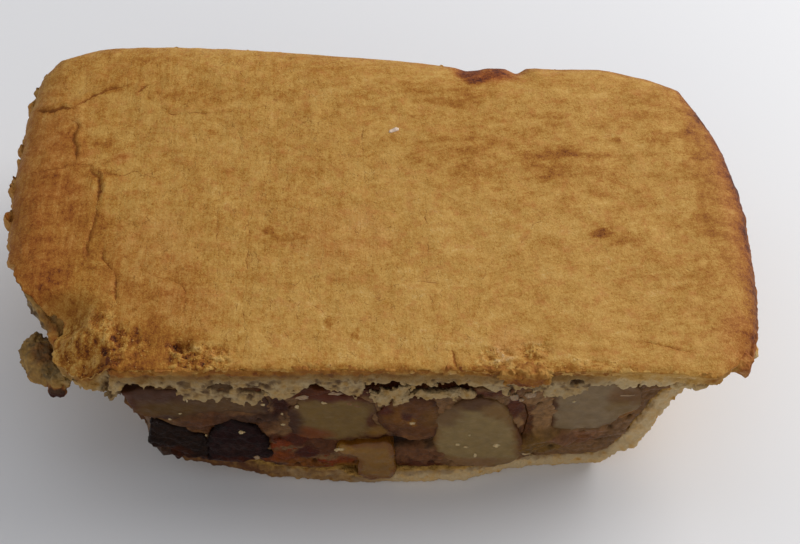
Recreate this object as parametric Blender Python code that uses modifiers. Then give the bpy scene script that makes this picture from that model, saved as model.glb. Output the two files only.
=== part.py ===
"""A meat and potato slice, cut across: half of a pie that was baked in a shallow, rounded tray.

A domed short-crust lid lies on a bowl of base crust, with its filling between them. The cut runs
along X at the front, and the filling's potato, meat, onion and carrot pieces show there. The front
left corner of the lid has broken off, and the base crust has broken away under it, all but a lump
of its rim.

Sizes are in metres. While the pieces are made, y is 0 at the cut and runs backwards, x is 0 halfway
along the slice and z is 0 under the base. An empty then stands the middle of the whole on the origin.
"""

import math
import random
from typing import NamedTuple

import bmesh
import bpy
from mathutils import Euler, Matrix, Vector, noise

MM = 0.001
GAP = 0.3 * MM

# The plan of the slice, at the rim
LENGTH = 129 * MM
DEPTH_AT_MIDDLE = 74.6 * MM
BACK_SLOPE = 0.075
LEFT_CORNER = 14 * MM
RIGHT_CORNER = 22 * MM
BOTTOM_CORNER = 10 * MM
SIDE_LEAN = 0.03

# The base crust: a flat bottom, a rounded corner, a steep wall and a flat rim that turns outwards
CRUST = 3.8 * MM
BOTTOM_INSET = 27 * MM
CORNER_RADIUS = 9 * MM
WALL_ANGLE = math.radians(72)
WALL_RUN = 14.6 * MM
FLARE_RADIUS = 4.5 * MM
RIM_THINNING = 0.6
BOTTOM_RINGS = 4
ARC_STEPS = 3
FILLING_RINGS = BOTTOM_RINGS + 2 * ARC_STEPS + 1

# The lid: thick over the filling, thin at the rim, rounded down at its edge
LID_TOP = 36.4 * MM
LID_THICKNESS = 6.6 * MM
LID_RIM_THICKNESS = 3.2 * MM
DOME = 1.6 * MM
EDGE_WIDTH = 13 * MM
LID_RISE_FROM = 9 * MM
LID_RISE_TO = 23 * MM
LID_INNER_RINGS = 5
LID_RIM_INSETS = (LID_RISE_TO, 15 * MM, LID_RISE_FROM, 4.5 * MM, 1.5 * MM, 0.0)
LID_EDGE_ROUNDING = 2.2
LID_SWELL = 0.35 * MM
SWELL_SIZE = 17 * MM

# How far the cut stands back from the plane y = 0, which fades out over RECESS_DEPTH
RECESS_DEPTH = 24 * MM
CUT_WOBBLE = 0.5 * MM
WOBBLE_SIZE = 7 * MM
TORN_FROM = 48 * MM
TORN_TO = 60 * MM
LID_TORN_BACK = 3.6 * MM
RIM_TORN_BACK = 6.0 * MM
LID_CORNER_FROM = 61.5 * MM
LID_CORNER_BACK = 5.0 * MM
BASE_BACK_LEFT = 5.2 * MM
BASE_BACK_RIGHT = 3.8 * MM
FILLING_BACK = 1.4 * MM
FILLING_BACK_LEFT = 1.8 * MM
FILLING_BACK_RIGHT = 2.9 * MM
FILLING_GAP = 0.4 * MM
CHUNK_PROUD = 0.9 * MM
KNIFE_STEPS = 20

# Where crust and filling have broken away at the left: corners of the plan, in millimetres
LID_BREAK = [(-50.2, -6), (-51.6, 10.5), (-57.5, 16.5), (-62, 23), (-66, 37), (-75, 40), (-75, -6)]
WALL_BREAK = [(-33, -6), (-35, 7.5), (-47, 15), (-75, 24), (-75, -6)]
FILLING_BREAK = [(-40, -6), (-39.5, 8), (-47, 16), (-75, 24), (-75, -6)]
BREAK_HEIGHTS = (-LID_TOP, 2 * LID_TOP)

# The pieces of the filling: how uneven their corners are and how rounded, as shares of their size
UNEVEN = 0.07
CHUNK_ROUNDING = 0.26


class Ring(NamedTuple):
    """One line round the half plan: a share of the full outline, less an inset all round, at a height."""

    scale: float
    inset: float
    height: float


class Chunk(NamedTuple):
    """A rounded, slightly uneven block of the filling. Lengths are in millimetres, turns in degrees."""

    centre: tuple
    size: tuple
    turn: tuple
    taper: float
    finish: str
    seed: int


CHUNKS = {
    "potato_left": Chunk((-29.4, 6.4, 21.4), (24.4, 15.0, 10.6), (0, 3, 2), -0.18, "potato", 3),
    "potato_middle": Chunk((-7.8, 6.0, 20.9), (16.8, 15.0, 14.4), (0, -8, 0), 0.1, "potato", 8),
    "potato_round": Chunk((17.8, 6.0, 17.0), (17.2, 17.0, 21.4), (0, 12, 0), -0.05, "potato", 5),
    "potato_right": Chunk((37.2, 8.4, 20.2), (16.6, 14.5, 13.2), (0, -14, 0), 0.12, "potato", 12),
    "dark_meat_round": Chunk((-22.7, 4.8, 10.6), (10.2, 9.6, 10.8), (0, 0, 0), -0.2, "dark_meat", 4),
    "dark_meat_strip": Chunk((-33.6, 5.0, 10.8), (10.8, 9.0, 9.8), (0, 14, 0), 0.1, "dark_meat", 7),
    "onion_piece": Chunk((-0.9, 3.0, 7.8), (9.4, 8.0, 12.6), (0, 14, 0), -0.12, "onion", 2),
    "meat_fold": Chunk((5.3, 5.4, 20.4), (7.4, 11.0, 12.2), (0, 12, 0), 0.1, "meat", 9),
    "carrot_left": Chunk((-14.4, 3.8, 10.2), (6.2, 6.0, 4.8), (0, 10, 0), 0.0, "carrot", 6),
    "carrot_right": Chunk((-8.4, 3.4, 6.8), (4.6, 5.6, 4.6), (0, -20, 0), 0.0, "carrot", 1),
}
CUT_THROUGH = ("potato", "meat", "carrot")
RIM_LUMP = Chunk((-56.4, 11.6, 21.2), (11.2, 15.4, 8.8), (0, 8, 38), 0.05, "base_crust", 10)

# What each finish looks like: sRGB colour and roughness
FINISHES = {
    "lid": ((172, 128, 68), 0.6),
    "base_crust": ((176, 146, 98), 0.75),
    "filling": ((98, 70, 52), 0.35),
    "potato": ((150, 128, 82), 0.35),
    "dark_meat": ((46, 32, 30), 0.4),
    "meat": ((112, 80, 56), 0.4),
    "onion": ((158, 118, 68), 0.3),
    "carrot": ((140, 66, 24), 0.35),
}


def clear_scene():
    """Remove every object that the file starts with."""
    for thing in list(bpy.data.objects):
        bpy.data.objects.remove(thing)


def new_collection(name):
    """A collection linked to the scene."""
    made = bpy.data.collections.new(name)
    bpy.context.scene.collection.children.link(made)
    return made


def linear(channel):
    """Linear value of one sRGB channel from 0 to 255."""
    share = channel / 255
    return share / 12.92 if share <= 0.04045 else ((share + 0.055) / 1.055) ** 2.4


def finish_material(name):
    """A plain Principled material from the table of finishes."""
    colour, roughness = FINISHES[name]
    material = bpy.data.materials.new(name)
    material.use_nodes = True
    shader = material.node_tree.nodes["Principled BSDF"]
    shader.inputs["Base Color"].default_value = (*map(linear, colour), 1)
    shader.inputs["Roughness"].default_value = roughness
    shader.inputs["Metallic"].default_value = 0
    material.diffuse_color = shader.inputs["Base Color"].default_value
    return material


def add_object(name, builder, collection, material=None):
    """Turn a bmesh into a smooth-shaded object."""
    mesh = bpy.data.meshes.new(name)
    builder.to_mesh(mesh)
    builder.free()
    mesh.shade_smooth()
    mesh.set_sharp_from_angle(angle=math.radians(40))
    made = bpy.data.objects.new(name, mesh)
    collection.objects.link(made)
    if material is not None:
        mesh.materials.append(material)
    return made


def eased(value, start, end):
    """0 before start and 1 after end, with a smooth step between."""
    share = min(max((value - start) / (end - start), 0), 1)
    return share * share * (3 - 2 * share)


def uneven_cut(x, phase):
    """How far an uneven cut stands back at x. Each layer has its own phase."""
    return CUT_WOBBLE * (1 + noise.noise(Vector((x / WOBBLE_SIZE, phase, 0.5))))


def lid_recess(x):
    """How far the lid's cut stands back at x. Its right corner is torn."""
    torn = LID_TORN_BACK * eased(x, TORN_FROM, TORN_TO)
    into_corner = max(x - LID_CORNER_FROM, 0) / (LENGTH / 2 - LID_CORNER_FROM)
    return uneven_cut(x, 0.0) + torn + LID_CORNER_BACK * into_corner**2


def base_recess(x):
    """How far the base crust's cut stands back at x: least in the middle, where it carries the onion."""
    left = BASE_BACK_LEFT * eased(-x, 2 * MM, 36 * MM)
    right = BASE_BACK_RIGHT * eased(x, 15 * MM, 22 * MM)
    torn_rim = RIM_TORN_BACK * eased(x, TORN_FROM, TORN_TO)
    return uneven_cut(x, 3.0) + left + right + torn_rim


def filling_recess(x):
    """How far the filling's cut stands back at x."""
    left = FILLING_BACK_LEFT * eased(-x, 10 * MM, 36 * MM)
    right = FILLING_BACK_RIGHT * eased(x, 20 * MM, 30 * MM)
    return FILLING_BACK + uneven_cut(x, 7.0) + left + right


def outline_place(u, v, half, depth, corner):
    """A point on the right half of a rounded outline, where u and v are its place on a unit square.

    The square's corner becomes the middle of the rounded corner, and each side's points stay even.
    """
    along_side = v * (depth - corner + math.pi * corner / 4)
    along_back = u * (half - corner + math.pi * corner / 4)
    if u >= v:
        angle = max(along_side - (depth - corner), 0) / max(corner, GAP)
        y = min(along_side, depth - corner)
        x = half - corner
    else:
        angle = math.pi / 2 - max(along_back - (half - corner), 0) / max(corner, GAP)
        y = depth - corner
        x = min(along_back, half - corner)
    return x + corner * math.cos(angle), y + corner * math.sin(angle)


def plan_place(across, back, ring, recess):
    """Where a grid point of the half plan lies.

    across runs from -steps to steps, and back from 0 at the cut to steps. The larger of the two is the
    point's ring, and the square rings of the grid become rounded outlines.
    """
    level = max(abs(across), back, 1)
    side = -1 if across < 0 else 1
    half = ring.scale * LENGTH / 2 - ring.inset
    depth = ring.scale * DEPTH_AT_MIDDLE - ring.inset
    full_corner = LEFT_CORNER if side < 0 else RIGHT_CORNER
    inward = min(ring.inset / BOTTOM_INSET, 1)
    corner = ring.scale * (full_corner + (BOTTOM_CORNER - full_corner) * inward)
    x, y = outline_place(abs(across) / level, back / level, half, depth, corner)
    x *= side * (1 - SIDE_LEAN * (y / DEPTH_AT_MIDDLE) ** 2)
    y *= 1 - BACK_SLOPE * x / DEPTH_AT_MIDDLE
    y += recess(x) * max(1 - y / RECESS_DEPTH, 0) ** 2
    return Vector((x, y, ring.height))


def split_quads(builder):
    """Split each quad along the diagonal that points at its corner of the plan, so both stay convex."""
    left = [face for face in builder.faces if face.calc_center_median().x < 0]
    right = [face for face in builder.faces if face.calc_center_median().x >= 0]
    bmesh.ops.triangulate(builder, faces=left, quad_method="ALTERNATE")
    bmesh.ops.triangulate(builder, faces=right, quad_method="FIXED")


def slab(name, upper, lower, steps, collection, material):
    """A closed solid between two surfaces over the same grid of the half plan."""
    builder = bmesh.new()
    for surface in (upper, lower):
        sheet = bmesh.ops.create_grid(builder, x_segments=2 * steps, y_segments=steps, size=1)
        for point in sheet["verts"]:
            across = round(point.co.x * steps)
            back = round((point.co.y + 1) / 2 * steps)
            point.co = surface(across, back)
    split_quads(builder)
    edges = [edge for edge in builder.edges if edge.is_boundary]
    bmesh.ops.bridge_loops(builder, edges=edges)
    bmesh.ops.recalc_face_normals(builder, faces=builder.faces)
    return add_object(name, builder, collection, material)


def bowl_rings(offset):
    """Rings, from the middle to the rim, of the face that lies offset inside the bowl's outer face."""
    rings = []
    for step in range(BOTTOM_RINGS):
        share = step / BOTTOM_RINGS
        rings.append(Ring(share, share * BOTTOM_INSET, offset))
    radius = CORNER_RADIUS - offset
    for step in range(ARC_STEPS + 1):
        angle = WALL_ANGLE * step / ARC_STEPS
        inset = BOTTOM_INSET - radius * math.sin(angle)
        rings.append(Ring(1, inset, CORNER_RADIUS - radius * math.cos(angle)))
    # The middle of the flare's arc, which lies outside the wall
    across = (CORNER_RADIUS + FLARE_RADIUS) * math.sin(WALL_ANGLE) + WALL_RUN * math.cos(WALL_ANGLE)
    down = (CORNER_RADIUS + FLARE_RADIUS) * math.cos(WALL_ANGLE) - WALL_RUN * math.sin(WALL_ANGLE)
    turn_inset = BOTTOM_INSET - across
    turn_height = CORNER_RADIUS - down
    for step in range(ARC_STEPS + 1):
        angle = WALL_ANGLE * (1 - step / ARC_STEPS)
        inset = turn_inset + (FLARE_RADIUS + offset) * math.sin(angle)
        rings.append(Ring(1, inset, turn_height + (FLARE_RADIUS + offset) * math.cos(angle)))
    rim_height = turn_height + FLARE_RADIUS + CRUST - (CRUST - offset) * RIM_THINNING
    rings.append(Ring(1, turn_inset / 2, rim_height))
    rings.append(Ring(1, 0, rim_height))
    return rings


RIM_TOP = bowl_rings(CRUST)[-1].height


def lid_underside(inset):
    """Height of the lid's underside: flat over the rim, then sloping up to its height over the filling."""
    raised = LID_TOP - LID_THICKNESS - (RIM_TOP + GAP)
    share = (inset - LID_RISE_FROM) / (LID_RISE_TO - LID_RISE_FROM)
    return RIM_TOP + GAP + raised * min(max(share, 0), 1)


def lid_upper(inset):
    """Height of the lid's top before its dome: it rounds down over its last few millimetres."""
    rim = RIM_TOP + GAP + LID_RIM_THICKNESS
    short = max(1 - inset / EDGE_WIDTH, 0)
    return rim + (LID_TOP - rim) * math.sqrt(1 - short**LID_EDGE_ROUNDING)


def lid_rings(height_at):
    """Rings of the lid, close together at its edge."""
    rings = []
    for step in range(LID_INNER_RINGS):
        share = step / LID_INNER_RINGS
        rings.append(Ring(share, share * LID_RISE_TO, height_at(LID_RISE_TO)))
    for inset in LID_RIM_INSETS:
        rings.append(Ring(1, inset, height_at(inset)))
    return rings


def build_lid(collection, material):
    """The short-crust lid."""
    tops = lid_rings(lid_upper)
    undersides = lid_rings(lid_underside)
    steps = len(tops) - 1

    def upper(across, back):
        level = max(abs(across), back)
        place = plan_place(across, back, tops[level], lid_recess)
        swell = LID_SWELL * noise.noise(place / SWELL_SIZE)
        fall = DOME * (2 * place.x / LENGTH) ** 2
        place.z += (swell - fall) * (1 - eased(level, LID_INNER_RINGS, steps))
        return place

    def lower(across, back):
        return plan_place(across, back, undersides[max(abs(across), back)], lid_recess)

    return slab("lid", upper, lower, steps, collection, material)


def build_base_crust(collection, material):
    """The bowl of base crust."""
    outer = bowl_rings(0)
    inner = bowl_rings(CRUST)

    def upper(across, back):
        return plan_place(across, back, inner[max(abs(across), back)], base_recess)

    def lower(across, back):
        return plan_place(across, back, outer[max(abs(across), back)], base_recess)

    return slab("base_crust", upper, lower, len(outer) - 1, collection, material)


def build_filling(collection, material):
    """The filling, from the bowl up to the lid. It ends over the flare, where it has grown thin."""
    floor = bowl_rings(CRUST + FILLING_GAP)[:FILLING_RINGS]

    def ceiling(across, back):
        level = max(abs(across), back)
        ring = floor[level]
        inset = ring.inset if ring.scale == 1 else LID_RISE_TO
        place = plan_place(across, back, ring, filling_recess)
        place.z = lid_underside(inset) - FILLING_GAP
        return place

    def bottom(across, back):
        return plan_place(across, back, floor[max(abs(across), back)], filling_recess)

    return slab("filling", ceiling, bottom, len(floor) - 1, collection, material)


def chunk_object(name, chunk, collection, material=None, grow=0.0):
    """A cube with uneven corners, chamfered and subdivided once. grow widens it on every side."""
    builder = bmesh.new()
    bmesh.ops.create_cube(builder, size=1)
    draw = random.Random(chunk.seed)
    full = [length * MM + 2 * grow for length in chunk.size]
    for point in builder.verts:
        uneven = Vector(draw.uniform(-UNEVEN, UNEVEN) for _ in range(3))
        point.co.x *= 1 + 2 * chunk.taper * point.co.z
        point.co = Vector(part * length for part, length in zip(point.co + uneven, full))
    width = CHUNK_ROUNDING * min(full)
    bmesh.ops.bevel(builder, geom=builder.edges, offset=width, segments=1, affect="EDGES")
    made = add_object(name, builder, collection, material)
    smooth = made.modifiers.new("Rounding", "SUBSURF")
    smooth.levels = 1
    smooth.render_levels = 1
    turn = Euler([math.radians(angle) for angle in chunk.turn]).to_matrix().to_4x4()
    made.data.transform(Matrix.Translation(Vector(chunk.centre) * MM) @ turn)
    return made


def prism(name, plan, heights, collection):
    """An upright block over a plan given in millimetres."""
    builder = bmesh.new()
    corners = [builder.verts.new((x * MM, y * MM, heights[0])) for x, y in plan]
    face = builder.faces.new(corners)
    top = bmesh.ops.extrude_face_region(builder, geom=[face])["geom"]
    moved = [part for part in top if isinstance(part, bmesh.types.BMVert)]
    bmesh.ops.translate(builder, verts=moved, vec=(0, 0, heights[1] - heights[0]))
    bmesh.ops.recalc_face_normals(builder, faces=builder.faces)
    return as_cutter(add_object(name, builder, collection))


def knife(collection):
    """The space in front of the cut pieces, whose faces stand a little proud of the filling's."""
    xs = [LENGTH * (step / KNIFE_STEPS - 0.5) for step in range(KNIFE_STEPS + 1)]
    front = [(x / MM, (filling_recess(x) - CHUNK_PROUD) / MM) for x in xs]
    end = xs[-1] / MM
    return prism("knife", [*front, (end, -end), (-end, -end)], BREAK_HEIGHTS, collection)


def as_cutter(thing):
    """Mark an object as a cutter, which is no part of the slice."""
    thing.hide_render = True
    thing.display_type = "WIRE"
    return thing


def cut(solid, cutter):
    """Take the cutter out of the solid."""
    modifier = solid.modifiers.new(f"Cut {cutter.name}", "BOOLEAN")
    modifier.operation = "DIFFERENCE"
    modifier.solver = "EXACT"
    modifier.object = cutter


def stand_on_origin(pieces, frame):
    """Move the empty that carries the pieces, so that the middle of their box stands on the origin."""
    bpy.context.view_layer.update()
    graph = bpy.context.evaluated_depsgraph_get()
    corners = [
        piece.matrix_world @ Vector(corner)
        for piece in pieces
        for corner in piece.evaluated_get(graph).bound_box
    ]
    low = Vector(min(corner[axis] for corner in corners) for axis in range(3))
    high = Vector(max(corner[axis] for corner in corners) for axis in range(3))
    middle = (low + high) / 2
    frame.location = (-middle.x, -middle.y, -low.z)


def main():
    """Build every piece, cut the recesses and set the whole on the origin."""
    clear_scene()
    slice_parts = new_collection("meat_and_potato_slice")
    cutters = new_collection("cutters")
    materials = {name: finish_material(name) for name in FINISHES}

    lid = build_lid(slice_parts, materials["lid"])
    base = build_base_crust(slice_parts, materials["base_crust"])
    filling = build_filling(slice_parts, materials["filling"])
    pieces = [lid, base, filling]

    cut(lid, prism("lid_break", LID_BREAK, BREAK_HEIGHTS, cutters))
    cut(base, prism("wall_break", WALL_BREAK, BREAK_HEIGHTS, cutters))
    cut(filling, prism("filling_break", FILLING_BREAK, BREAK_HEIGHTS, cutters))

    knife_space = knife(cutters)
    for name, chunk in CHUNKS.items():
        piece = chunk_object(name, chunk, slice_parts, materials[chunk.finish])
        if chunk.finish in CUT_THROUGH:
            cut(piece, knife_space)
        pieces.append(piece)
        recess = as_cutter(chunk_object(f"{name}_recess", chunk, cutters, grow=GAP))
        cut(filling, recess)
        if chunk.finish in ("dark_meat", "onion"):
            cut(base, recess)
    pieces.append(chunk_object("rim_lump", RIM_LUMP, slice_parts, materials["base_crust"]))
    lump_recess = as_cutter(chunk_object("rim_lump_recess", RIM_LUMP, cutters, grow=GAP))
    cut(base, lump_recess)
    cut(lid, lump_recess)

    frame = bpy.data.objects.new("slice", None)
    slice_parts.objects.link(frame)
    for thing in pieces + list(cutters.objects):
        thing.parent = frame
    stand_on_origin(pieces, frame)


main()
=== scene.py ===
"""The looks of a cut meat and potato slice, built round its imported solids.

Shapes are worked out in plan millimetres: x runs along the cut, y back from the cut and z up from the
underside. to_frame turns them into the frame's metres.
"""

import itertools
import logging
import math
from dataclasses import dataclass, field
from enum import Enum

import bmesh
import bpy
import numpy as np
from bpy.types import Material, Node, NodeSocket, NodeTree, Object
from mathutils import Euler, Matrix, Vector
from mathutils.bvhtree import BVHTree


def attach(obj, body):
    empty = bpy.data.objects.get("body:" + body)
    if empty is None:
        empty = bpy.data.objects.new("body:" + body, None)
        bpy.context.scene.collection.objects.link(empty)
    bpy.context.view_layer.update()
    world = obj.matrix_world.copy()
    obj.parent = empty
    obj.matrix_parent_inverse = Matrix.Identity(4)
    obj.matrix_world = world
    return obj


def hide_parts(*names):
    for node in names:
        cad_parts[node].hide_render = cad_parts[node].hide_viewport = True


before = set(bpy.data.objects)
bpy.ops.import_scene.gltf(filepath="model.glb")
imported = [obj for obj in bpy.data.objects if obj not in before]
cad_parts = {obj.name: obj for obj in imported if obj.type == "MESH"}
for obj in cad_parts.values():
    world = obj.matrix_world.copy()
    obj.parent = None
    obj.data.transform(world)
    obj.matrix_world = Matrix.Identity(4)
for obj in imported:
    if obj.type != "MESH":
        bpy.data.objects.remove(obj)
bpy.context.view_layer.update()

Array = np.ndarray
Fed = NodeSocket | float | tuple
MM = 0.001
CUT_IN_FRAME = np.array((-0.065, -38.707, 0.0))

log = logging.getLogger("slice")


def to_frame(points: Array) -> Array:
    """Plan millimetres to the frame's metres."""
    return (points + CUT_IN_FRAME) * MM


def to_plan(points: Array) -> Array:
    """The frame's metres to plan millimetres."""
    return points / MM - CUT_IN_FRAME


def eased(values: Array, start: float, end: float) -> Array:
    """0 at start and 1 at end, with a smooth step between."""
    share = np.clip((values - start) / (end - start), 0, 1)
    return share * share * (3 - 2 * share)


def faded(values: Array, start: float, end: float) -> Array:
    """1 at start and 0 at end, with a smooth step between."""
    return 1 - eased(values, start, end)


def linear(colour: tuple) -> tuple:
    """Linear values of an sRGB colour given from 0 to 255."""
    shares = np.array(colour) / 255
    bent = np.where(shares <= 0.04045, shares / 12.92, ((shares + 0.055) / 1.055) ** 2.4)
    return tuple(float(part) for part in bent)


class Uneven:
    """Repeatable uneven values over points in space."""

    def __init__(self, seed: int) -> None:
        """Draw the tables that the values come from."""
        draw = np.random.default_rng(seed)
        self.order = draw.permutation(256)
        slopes = draw.normal(size=(256, 3))
        self.slopes = slopes / np.linalg.norm(slopes, axis=1, keepdims=True)
        self.spots = draw.random((256, 3))

    def picked(self, cells: Array) -> Array:
        """A table row for each cell of a lattice."""
        cells = cells & 255
        first = self.order[cells[:, 0]]
        second = self.order[(first + cells[:, 1]) & 255]
        return self.order[(second + cells[:, 2]) & 255]

    def waves(self, points: Array, size: float | tuple) -> Array:
        """Smooth values from about -1 to 1.

        Args:
            points: places in millimetres, one a row.
            size: width of a wave in millimetres, or one for each axis.

        Returns:
            One value for each point.
        """
        places = points / np.array(size)
        cells = np.floor(places).astype(np.int64)
        parts = places - cells
        ease = parts**3 * (parts * (parts * 6 - 15) + 10)
        total = np.zeros(len(points))
        for corner in itertools.product((0, 1), repeat=3):
            shift = np.array(corner)
            slope = self.slopes[self.picked(cells + shift)]
            weight = np.prod(np.where(shift == 1, ease, 1 - ease), axis=1)
            total += weight * np.einsum("ij,ij->i", slope, parts - shift)
        return 1.7 * total

    def layered(self, points: Array, size: float | tuple, layers: int = 4) -> Array:
        """Waves on waves, each layer half as wide and half as high as the one before.

        Args:
            points: places in millimetres, one a row.
            size: width of the widest waves in millimetres, or one for each axis.
            layers: how many layers are added up.

        Returns:
            One value for each point.
        """
        total = np.zeros(len(points))
        for layer in range(layers):
            share = 0.5**layer
            total += share * self.waves(points + 31.7 * layer, np.array(size) * share)
        return total

    def grains(self, points: Array, size: float | tuple) -> tuple[Array, Array, Array]:
        """Scattered grains, one in each cell of a lattice.

        Args:
            points: places in millimetres, one a row.
            size: distance between grains in millimetres, or one for each axis.

        Returns:
            Distance to the nearest grain and to the next, in sizes, and a value from 0 to 1 for each grain.
        """
        places = points / np.array(size)
        cells = np.floor(places).astype(np.int64)
        nearest = np.full(len(points), 9.0)
        following = np.full(len(points), 9.0)
        value = np.zeros(len(points))
        for step in itertools.product((-1, 0, 1), repeat=3):
            cell = cells + np.array(step)
            row = self.picked(cell)
            apart = np.linalg.norm(cell + self.spots[row] - places, axis=1)
            closer = apart < nearest
            following = np.where(closer, nearest, np.minimum(following, apart))
            value = np.where(closer, self.spots[row, 0], value)
            nearest = np.where(closer, apart, nearest)
        return nearest, following, value


def even_path(corners: list, spacing: float) -> Array:
    """A smooth line through corners of a plan, with evenly spaced points.

    Args:
        corners: places that the line passes through.
        spacing: distance between its points in millimetres.

    Returns:
        The points, one a row.
    """
    knots = np.array(corners, float)
    padded = np.vstack([2 * knots[0] - knots[1], knots, 2 * knots[-1] - knots[-2]])
    fine = []
    for a, b, c, d in zip(padded, padded[1:], padded[2:], padded[3:]):
        for share in np.linspace(0, 1, 12, endpoint=False):
            bend = (2 * a - 5 * b + 4 * c - d) * share**2 + (3 * b - a - 3 * c + d) * share**3
            fine.append((2 * b + (c - a) * share + bend) / 2)
    fine = np.array([*fine, knots[-1]])
    return resampled(fine, max(int(run_along(fine)[-1] / spacing), 2) + 1)


def run_along(line: Array) -> Array:
    """Distance along a line to each of its points."""
    return np.concatenate([[0], np.cumsum(np.linalg.norm(np.diff(line, axis=0), axis=1))])


def resampled(line: Array, count: int) -> Array:
    """The line with count evenly spaced points."""
    along = run_along(line)
    wanted = np.linspace(0, along[-1], count)
    return np.stack([np.interp(wanted, along, line[:, axis]) for axis in range(line.shape[1])], axis=1)


def beside(points: Array, line: Array) -> tuple[Array, Array]:
    """How far points of a plan lie from a line, and where along it.

    Args:
        points: places in the plan, one a row.
        line: points of the line.

    Returns:
        Signed distance, above 0 on the line's left, and the share of the line's length.
    """
    best = np.full(len(points), 1e9)
    signed = np.zeros(len(points))
    place = np.zeros(len(points))
    along = run_along(line)
    for start, end, before in zip(line[:-1], line[1:], along):
        run = end - start
        length = max(float(np.hypot(*run)), 1e-9)
        apart = points - start
        share = np.clip(apart @ run / length**2, 0, 1)
        away = apart - share[:, None] * run
        distance = np.hypot(away[:, 0], away[:, 1])
        closer = distance < best
        side = np.sign(run[0] * apart[:, 1] - run[1] * apart[:, 0])
        signed = np.where(closer, side * distance, signed)
        place = np.where(closer, (before + share * length) / along[-1], place)
        best = np.where(closer, distance, best)
    return signed, place


def field_grid(low: tuple, high: tuple, pitch: float) -> tuple[Array, tuple]:
    """Points of a box's lattice.

    Args:
        low: lowest corner in millimetres.
        high: highest corner.
        pitch: distance between points.

    Returns:
        The points, one a row, and the lattice's shape.
    """
    axes = [np.arange(a, b + pitch, pitch) for a, b in zip(low, high)]
    grid = np.stack(np.meshgrid(*axes, indexing="ij"), axis=-1)
    return grid.reshape(-1, 3), grid.shape[:3]


def skin_of_field(values: Array, low: tuple, pitch: float) -> tuple[Array, Array]:
    """Closed quads between the inside of a field, below 0, and its outside.

    Args:
        values: the field on a lattice. Its border is taken as outside.
        low: lowest corner of the lattice in millimetres.
        pitch: distance between its points.

    Returns:
        Points and quads.
    """
    values = values.copy()
    for axis in range(3):
        for end in (0, -1):
            border = [slice(None)] * 3
            border[axis] = end
            values[tuple(border)] = np.maximum(values[tuple(border)], pitch)
    corners = list(itertools.product((0, 1), repeat=3))
    cells = tuple(count - 1 for count in values.shape)
    parts = [values[tuple(slice(c, c + n) for c, n in zip(corner, cells))] for corner in corners]
    within = sum((part < 0).astype(np.int8) for part in parts)
    active = (within > 0) & (within < 8)
    at_corner = np.stack([part[active] for part in parts], axis=1)
    total = np.zeros((len(at_corner), 3))
    crossings = np.zeros(len(at_corner))
    for a, corner in enumerate(corners):
        for axis in range(3):
            if corner[axis] == 1:
                continue
            b = a + (4, 2, 1)[axis]
            first, second = at_corner[:, a], at_corner[:, b]
            crossed = (first < 0) != (second < 0)
            share = np.where(crossed, first / np.where(crossed, first - second, 1), 0)
            place = np.tile(np.array(corner, float), (len(share), 1))
            place[:, axis] += share
            total += place * crossed[:, None]
            crossings += crossed
    points = np.array(low) + pitch * (np.argwhere(active) + total / crossings[:, None])
    number = np.full(cells, -1, np.int64)
    number[active] = np.arange(len(at_corner))
    quads = []
    for axis in range(3):
        one, two = (axis + 1) % 3, (axis + 2) % 3
        lower = np.take(values, range(values.shape[axis] - 1), axis)
        upper = np.take(values, range(1, values.shape[axis]), axis)
        places = np.argwhere((lower < 0) != (upper < 0))
        step_one, step_two = np.eye(3, dtype=int)[one], np.eye(3, dtype=int)[two]
        loop = [places - step_one - step_two, places - step_two, places, places - step_one]
        quad = np.stack([number[tuple(step.T)] for step in loop], axis=1)
        outwards = lower[tuple(places.T)] < 0
        quads.append(np.where(outwards[:, None], quad, quad[:, ::-1]))
    return without_islands(points, np.concatenate(quads))


def without_islands(points: Array, quads: Array, fewest: int = 150) -> tuple:
    """Leave out the loose parts of a mesh that have fewer quads than fewest.

    Args:
        points: the mesh's points.
        quads: its faces.
        fewest: how many quads a part needs to stay.

    Returns:
        The points and quads that stay.
    """
    label = np.arange(len(points))
    while True:
        linked = label.copy()
        np.minimum.at(linked, quads.reshape(-1), np.repeat(label[quads].min(axis=1), 4))
        linked = linked[linked]
        if (linked == label).all():
            break
        label = linked
    own = label[quads[:, 0]]
    quads = quads[np.bincount(own, minlength=len(points))[own] >= fewest]
    used, numbers = np.unique(quads, return_inverse=True)
    return points[used], numbers.reshape(-1, 4)


def blob(points: Array, centre: tuple, radii: tuple, turn: float = 0.0) -> Array:
    """About how far points lie outside an ellipsoid, in millimetres.

    Args:
        points: places in millimetres, one a row.
        centre: its middle.
        radii: its half sizes.
        turn: how far it is turned about the vertical, in degrees.

    Returns:
        One distance for each point, below 0 inside.
    """
    apart = points - np.array(centre)
    angle = math.radians(turn)
    x = apart[:, 0] * math.cos(angle) + apart[:, 1] * math.sin(angle)
    y = apart[:, 1] * math.cos(angle) - apart[:, 0] * math.sin(angle)
    scaled = np.stack([x, y, apart[:, 2]], axis=1) / np.array(radii)
    return (np.linalg.norm(scaled, axis=1) - 1) * min(radii)


def merged(first: Array, second: Array, soft: float) -> Array:
    """Union of two fields, rounded over soft millimetres where they meet."""
    share = np.clip(0.5 + (second - first) / (2 * soft), 0, 1)
    return second + (first - second) * share - soft * share * (1 - share)


@dataclass(frozen=True)
class Spot:
    """A soft spot of colour or browning. A radius of None reaches any distance along that axis."""

    centre: tuple
    radii: tuple
    value: float | tuple
    strength: float = 1.0

    def share(self, points: Array, inner: float = 0.35, outer: float = 1.5) -> Array:
        """How much of the spot each point takes, all inside the inner square of the distance."""
        far = np.zeros(len(points))
        for axis, (middle, radius) in enumerate(zip(self.centre, self.radii)):
            if radius is not None:
                far += ((points[:, axis] - middle) / radius) ** 2
        return self.strength * faded(far, inner, outer)


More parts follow.
